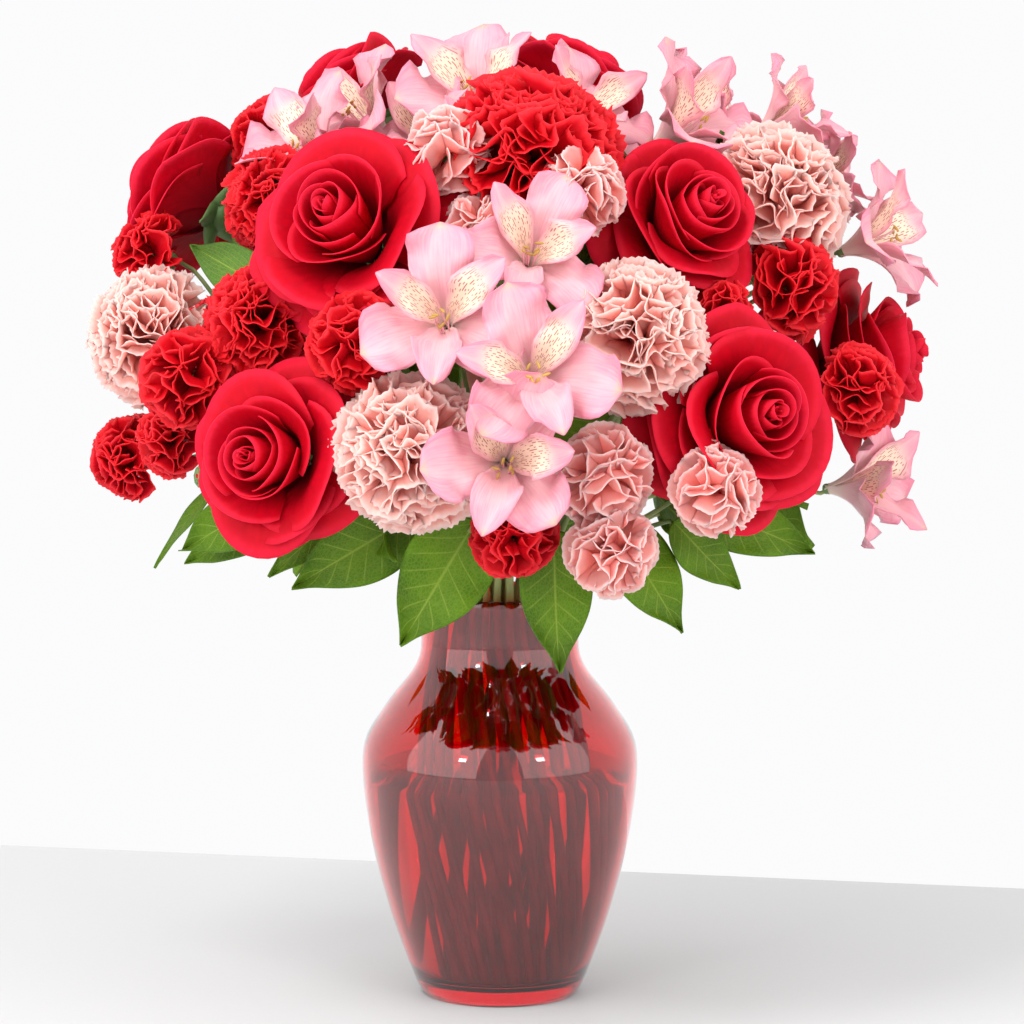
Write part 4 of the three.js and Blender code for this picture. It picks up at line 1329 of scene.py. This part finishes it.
class BOUQUET_OT_vase(bpy.types.Operator):
    """Turn the glass vase and the water in it"""

    bl_idname = "bouquet.vase"
    bl_label = "Vase and water"

    def execute(self, context):
        look = context.scene.bouquet_vase
        outer = vase_outline(56)
        wall, floor = VASE["wall"], VASE["floor"]
        inner = [(r - wall, z) for r, z in outer if z > floor + FLOOR_ROUND][::-1]
        lip = [(outer[-1][0] - wall * share, LIP + LIP_ROUND) for share in (0.2, 0.8)]
        edge = inner_radius(floor + FLOOR_ROUND)
        base = [(edge - 0.003, floor), (edge - 0.012, floor - 0.001), (0.0, floor - HOLLOW)]
        foot = [(0.0, HOLLOW), (outer[0][0] - 0.008, HOLLOW), (outer[0][0] - 0.005, 0.0)]
        rings = [*foot, *outer, *lip, *inner, *base]
        glass = turned_mesh("vase_glass", rings, look.sides, ruby_glass(look))
        set_up(placed("vase_glass", glass), "vase")
        clear = wall + WATER_CLEARANCE
        side = [(r - clear, z) for r, z in outer if floor + 0.006 < z < WATER_LEVEL - 0.001]
        top = inner_radius(WATER_LEVEL) - 0.0006
        bottom = [(0.0, floor + 0.0004), (edge - 0.006, floor + 0.0006)]
        rings = [*bottom, *side, (top, WATER_LEVEL), (0.0, WATER_LEVEL)]
        water = turned_mesh("water_body", rings, look.sides // 2, clear_water())
        set_up(placed("water_body", water), "water")
        return {"FINISHED"}


class BOUQUET_OT_roses(bpy.types.Operator):
    """Grow the roses"""

    bl_idname = "bouquet.roses"
    bl_label = "Roses"

    def execute(self, context):
        prepare()
        opening = context.scene.bouquet_roses.open
        for at in ROSES:
            build_flower(f"rose_{at}", "rose_petal", rose_head, opening)
        return {"FINISHED"}


class BOUQUET_OT_carnations(bpy.types.Operator):
    """Grow the large carnations"""

    bl_idname = "bouquet.carnations"
    bl_label = "Carnations"

    def execute(self, context):
        prepare()
        for name in CARNATIONS:
            colour = name.split("_")[0]
            build_flower(name, f"{colour}_petal", carnation_head, colour)
        return {"FINISHED"}


class BOUQUET_OT_mini_carnations(bpy.types.Operator):
    """Grow the sprays of mini carnations"""

    bl_idname = "bouquet.mini_carnations"
    bl_label = "Mini carnations"

    def execute(self, context):
        prepare()
        for colour, sprays in MINI_CARNATIONS.items():
            for at in sprays:
                build_flower(f"{colour}_mini_carnation_spray_{at}", f"{colour}_petal", mini_head, colour)
        return {"FINISHED"}


class BOUQUET_OT_alstroemeria(bpy.types.Operator):
    """Grow the sprays of alstroemeria"""

    bl_idname = "bouquet.alstroemeria"
    bl_label = "Alstroemeria"

    def execute(self, context):
        prepare()
        for at in ALSTROEMERIA:
            build_flower(f"alstroemeria_spray_{at}", "alstroemeria_petal", alstroemeria_head)
        return {"FINISHED"}


class BOUQUET_OT_greens(bpy.types.Operator):
    """Grow the leafy sprigs"""

    bl_idname = "bouquet.greens"
    bl_label = "Leafy sprigs"

    def execute(self, context):
        prepare()
        for name in SPRIGS:
            kind = name.split("_")[0]
            slim = 0.72 if kind == "salal" else 0.85
            made = BUNCHED[name]
            parts = [made["stem"].mesh(MATERIALS["stalk"])]
            for k, leaf in enumerate(made["leaves"]):
                parts.append(leaf_mesh(leaf, MATERIALS[kind], seed_of(name, k), slim))
            set_up(joined(f"{name}_leaves", parts), name)
        return {"FINISHED"}


class BOUQUET_OT_stage(bpy.types.Operator):
    """Set the pale table, the lights and the camera"""

    bl_idname = "bouquet.stage"
    bl_label = "Stage"

    def execute(self, context):
        look = context.scene.bouquet_studio
        self.table()

        world = bpy.data.worlds.new("studio")
        context.scene.world = world
        world.use_nodes = True
        sky = world.node_tree.nodes["Background"]
        sky.inputs["Color"].default_value = (0.99, 0.99, 1.0, 1)
        sky.inputs["Strength"].default_value = look.backdrop

        for name, (place, aim, size, share) in LAMPS.items():
            self.light(name, place, aim, size, look.key * share)

        camera = placed("camera", bpy.data.cameras.new("camera"))
        aim = Vector(look.aim)
        camera.location = aim + Vector((0, -look.distance, look.rise))
        camera.rotation_euler = (aim - camera.location).to_track_quat("-Z", "Y").to_euler()
        camera.data.lens = look.lens
        camera.data.sensor_width = 36
        context.scene.camera = camera
        context.scene.view_settings.view_transform = "Standard"
        return {"FINISHED"}

    @staticmethod
    def table():
        """A plain pale table top, drawn across the studio along its profile."""
        bm = bmesh.new()
        loops = [[bm.verts.new((x, *p)) for x in (-TABLE_HALF_WIDTH, TABLE_HALF_WIDTH)] for p in TABLE_PROFILE]
        for low, high in zip(loops, loops[1:]):
            bm.faces.new((low[0], low[1], high[1], high[0]))
        paper = Finish("table_paper", Roughness=0.6, Specular_IOR_Level=0.3)
        grain = paper.object_noise(300.0, 2.0)
        tone = paper.mixed(grain, [TABLE_GREY] * 3, [TABLE_GREY * 1.03] * 3)
        mesh = plain_mesh("table", bm, paper.end(tone, None, grain, 0.03), smooth=False)
        mesh.transform(Matrix.Rotation(math.radians(TABLE_TURN), 4, "Z"))
        placed("table", mesh)

    @staticmethod
    def light(name, place, aim, size, power):
        lamp = bpy.data.lights.new(name, "AREA")
        lamp.shape, lamp.size, lamp.size_y, lamp.energy = "RECTANGLE", *size, power
        holder = placed(name, lamp)
        holder.location = place
        holder.rotation_euler = (Vector(aim) - Vector(place)).to_track_quat("-Z", "Y").to_euler()


STEPS = [
    BOUQUET_OT_vase,
    BOUQUET_OT_roses,
    BOUQUET_OT_carnations,
    BOUQUET_OT_mini_carnations,
    BOUQUET_OT_alstroemeria,
    BOUQUET_OT_greens,
    BOUQUET_OT_stage,
]
LOOKS = {
    "bouquet_vase": VaseLook,
    "bouquet_roses": RoseLook,
    "bouquet_carnations": CarnationLook,
    "bouquet_alstroemeria": AlstroemeriaLook,
    "bouquet_greens": GreensLook,
    "bouquet_studio": StudioLook,
}


class BOUQUET_PT_panel(bpy.types.Panel):
    """The bouquet's pieces, with their sizes and colours"""

    bl_idname = "BOUQUET_PT_panel"
    bl_label = "Bouquet"
    bl_space_type = "VIEW_3D"
    bl_region_type = "UI"
    bl_category = "Bouquet"

    def draw(self, context):
        for step in STEPS:
            self.layout.operator(step.bl_idname)
        for label, look in LOOKS.items():
            box = self.layout.box()
            box.label(text=look.__doc__)
            for prop in look.__annotations__:
                box.prop(getattr(context.scene, label), prop)


CLASSES = [*LOOKS.values(), *STEPS, BOUQUET_PT_panel]


def register():
    for cls in CLASSES:
        bpy.utils.register_class(cls)
    for label, look in LOOKS.items():
        setattr(bpy.types.Scene, label, PointerProperty(type=look))


def unregister():
    for label in LOOKS:
        delattr(bpy.types.Scene, label)
    for cls in reversed(CLASSES):
        bpy.utils.unregister_class(cls)


def main():
    """Registers the add-on and makes every piece in order."""
    register()
    for step in STEPS:
        piece = step.bl_idname.split(".")[1]
        getattr(bpy.ops.bouquet, piece)()
    bpy.context.view_layer.update()


if __name__ == "__main__":
    main()
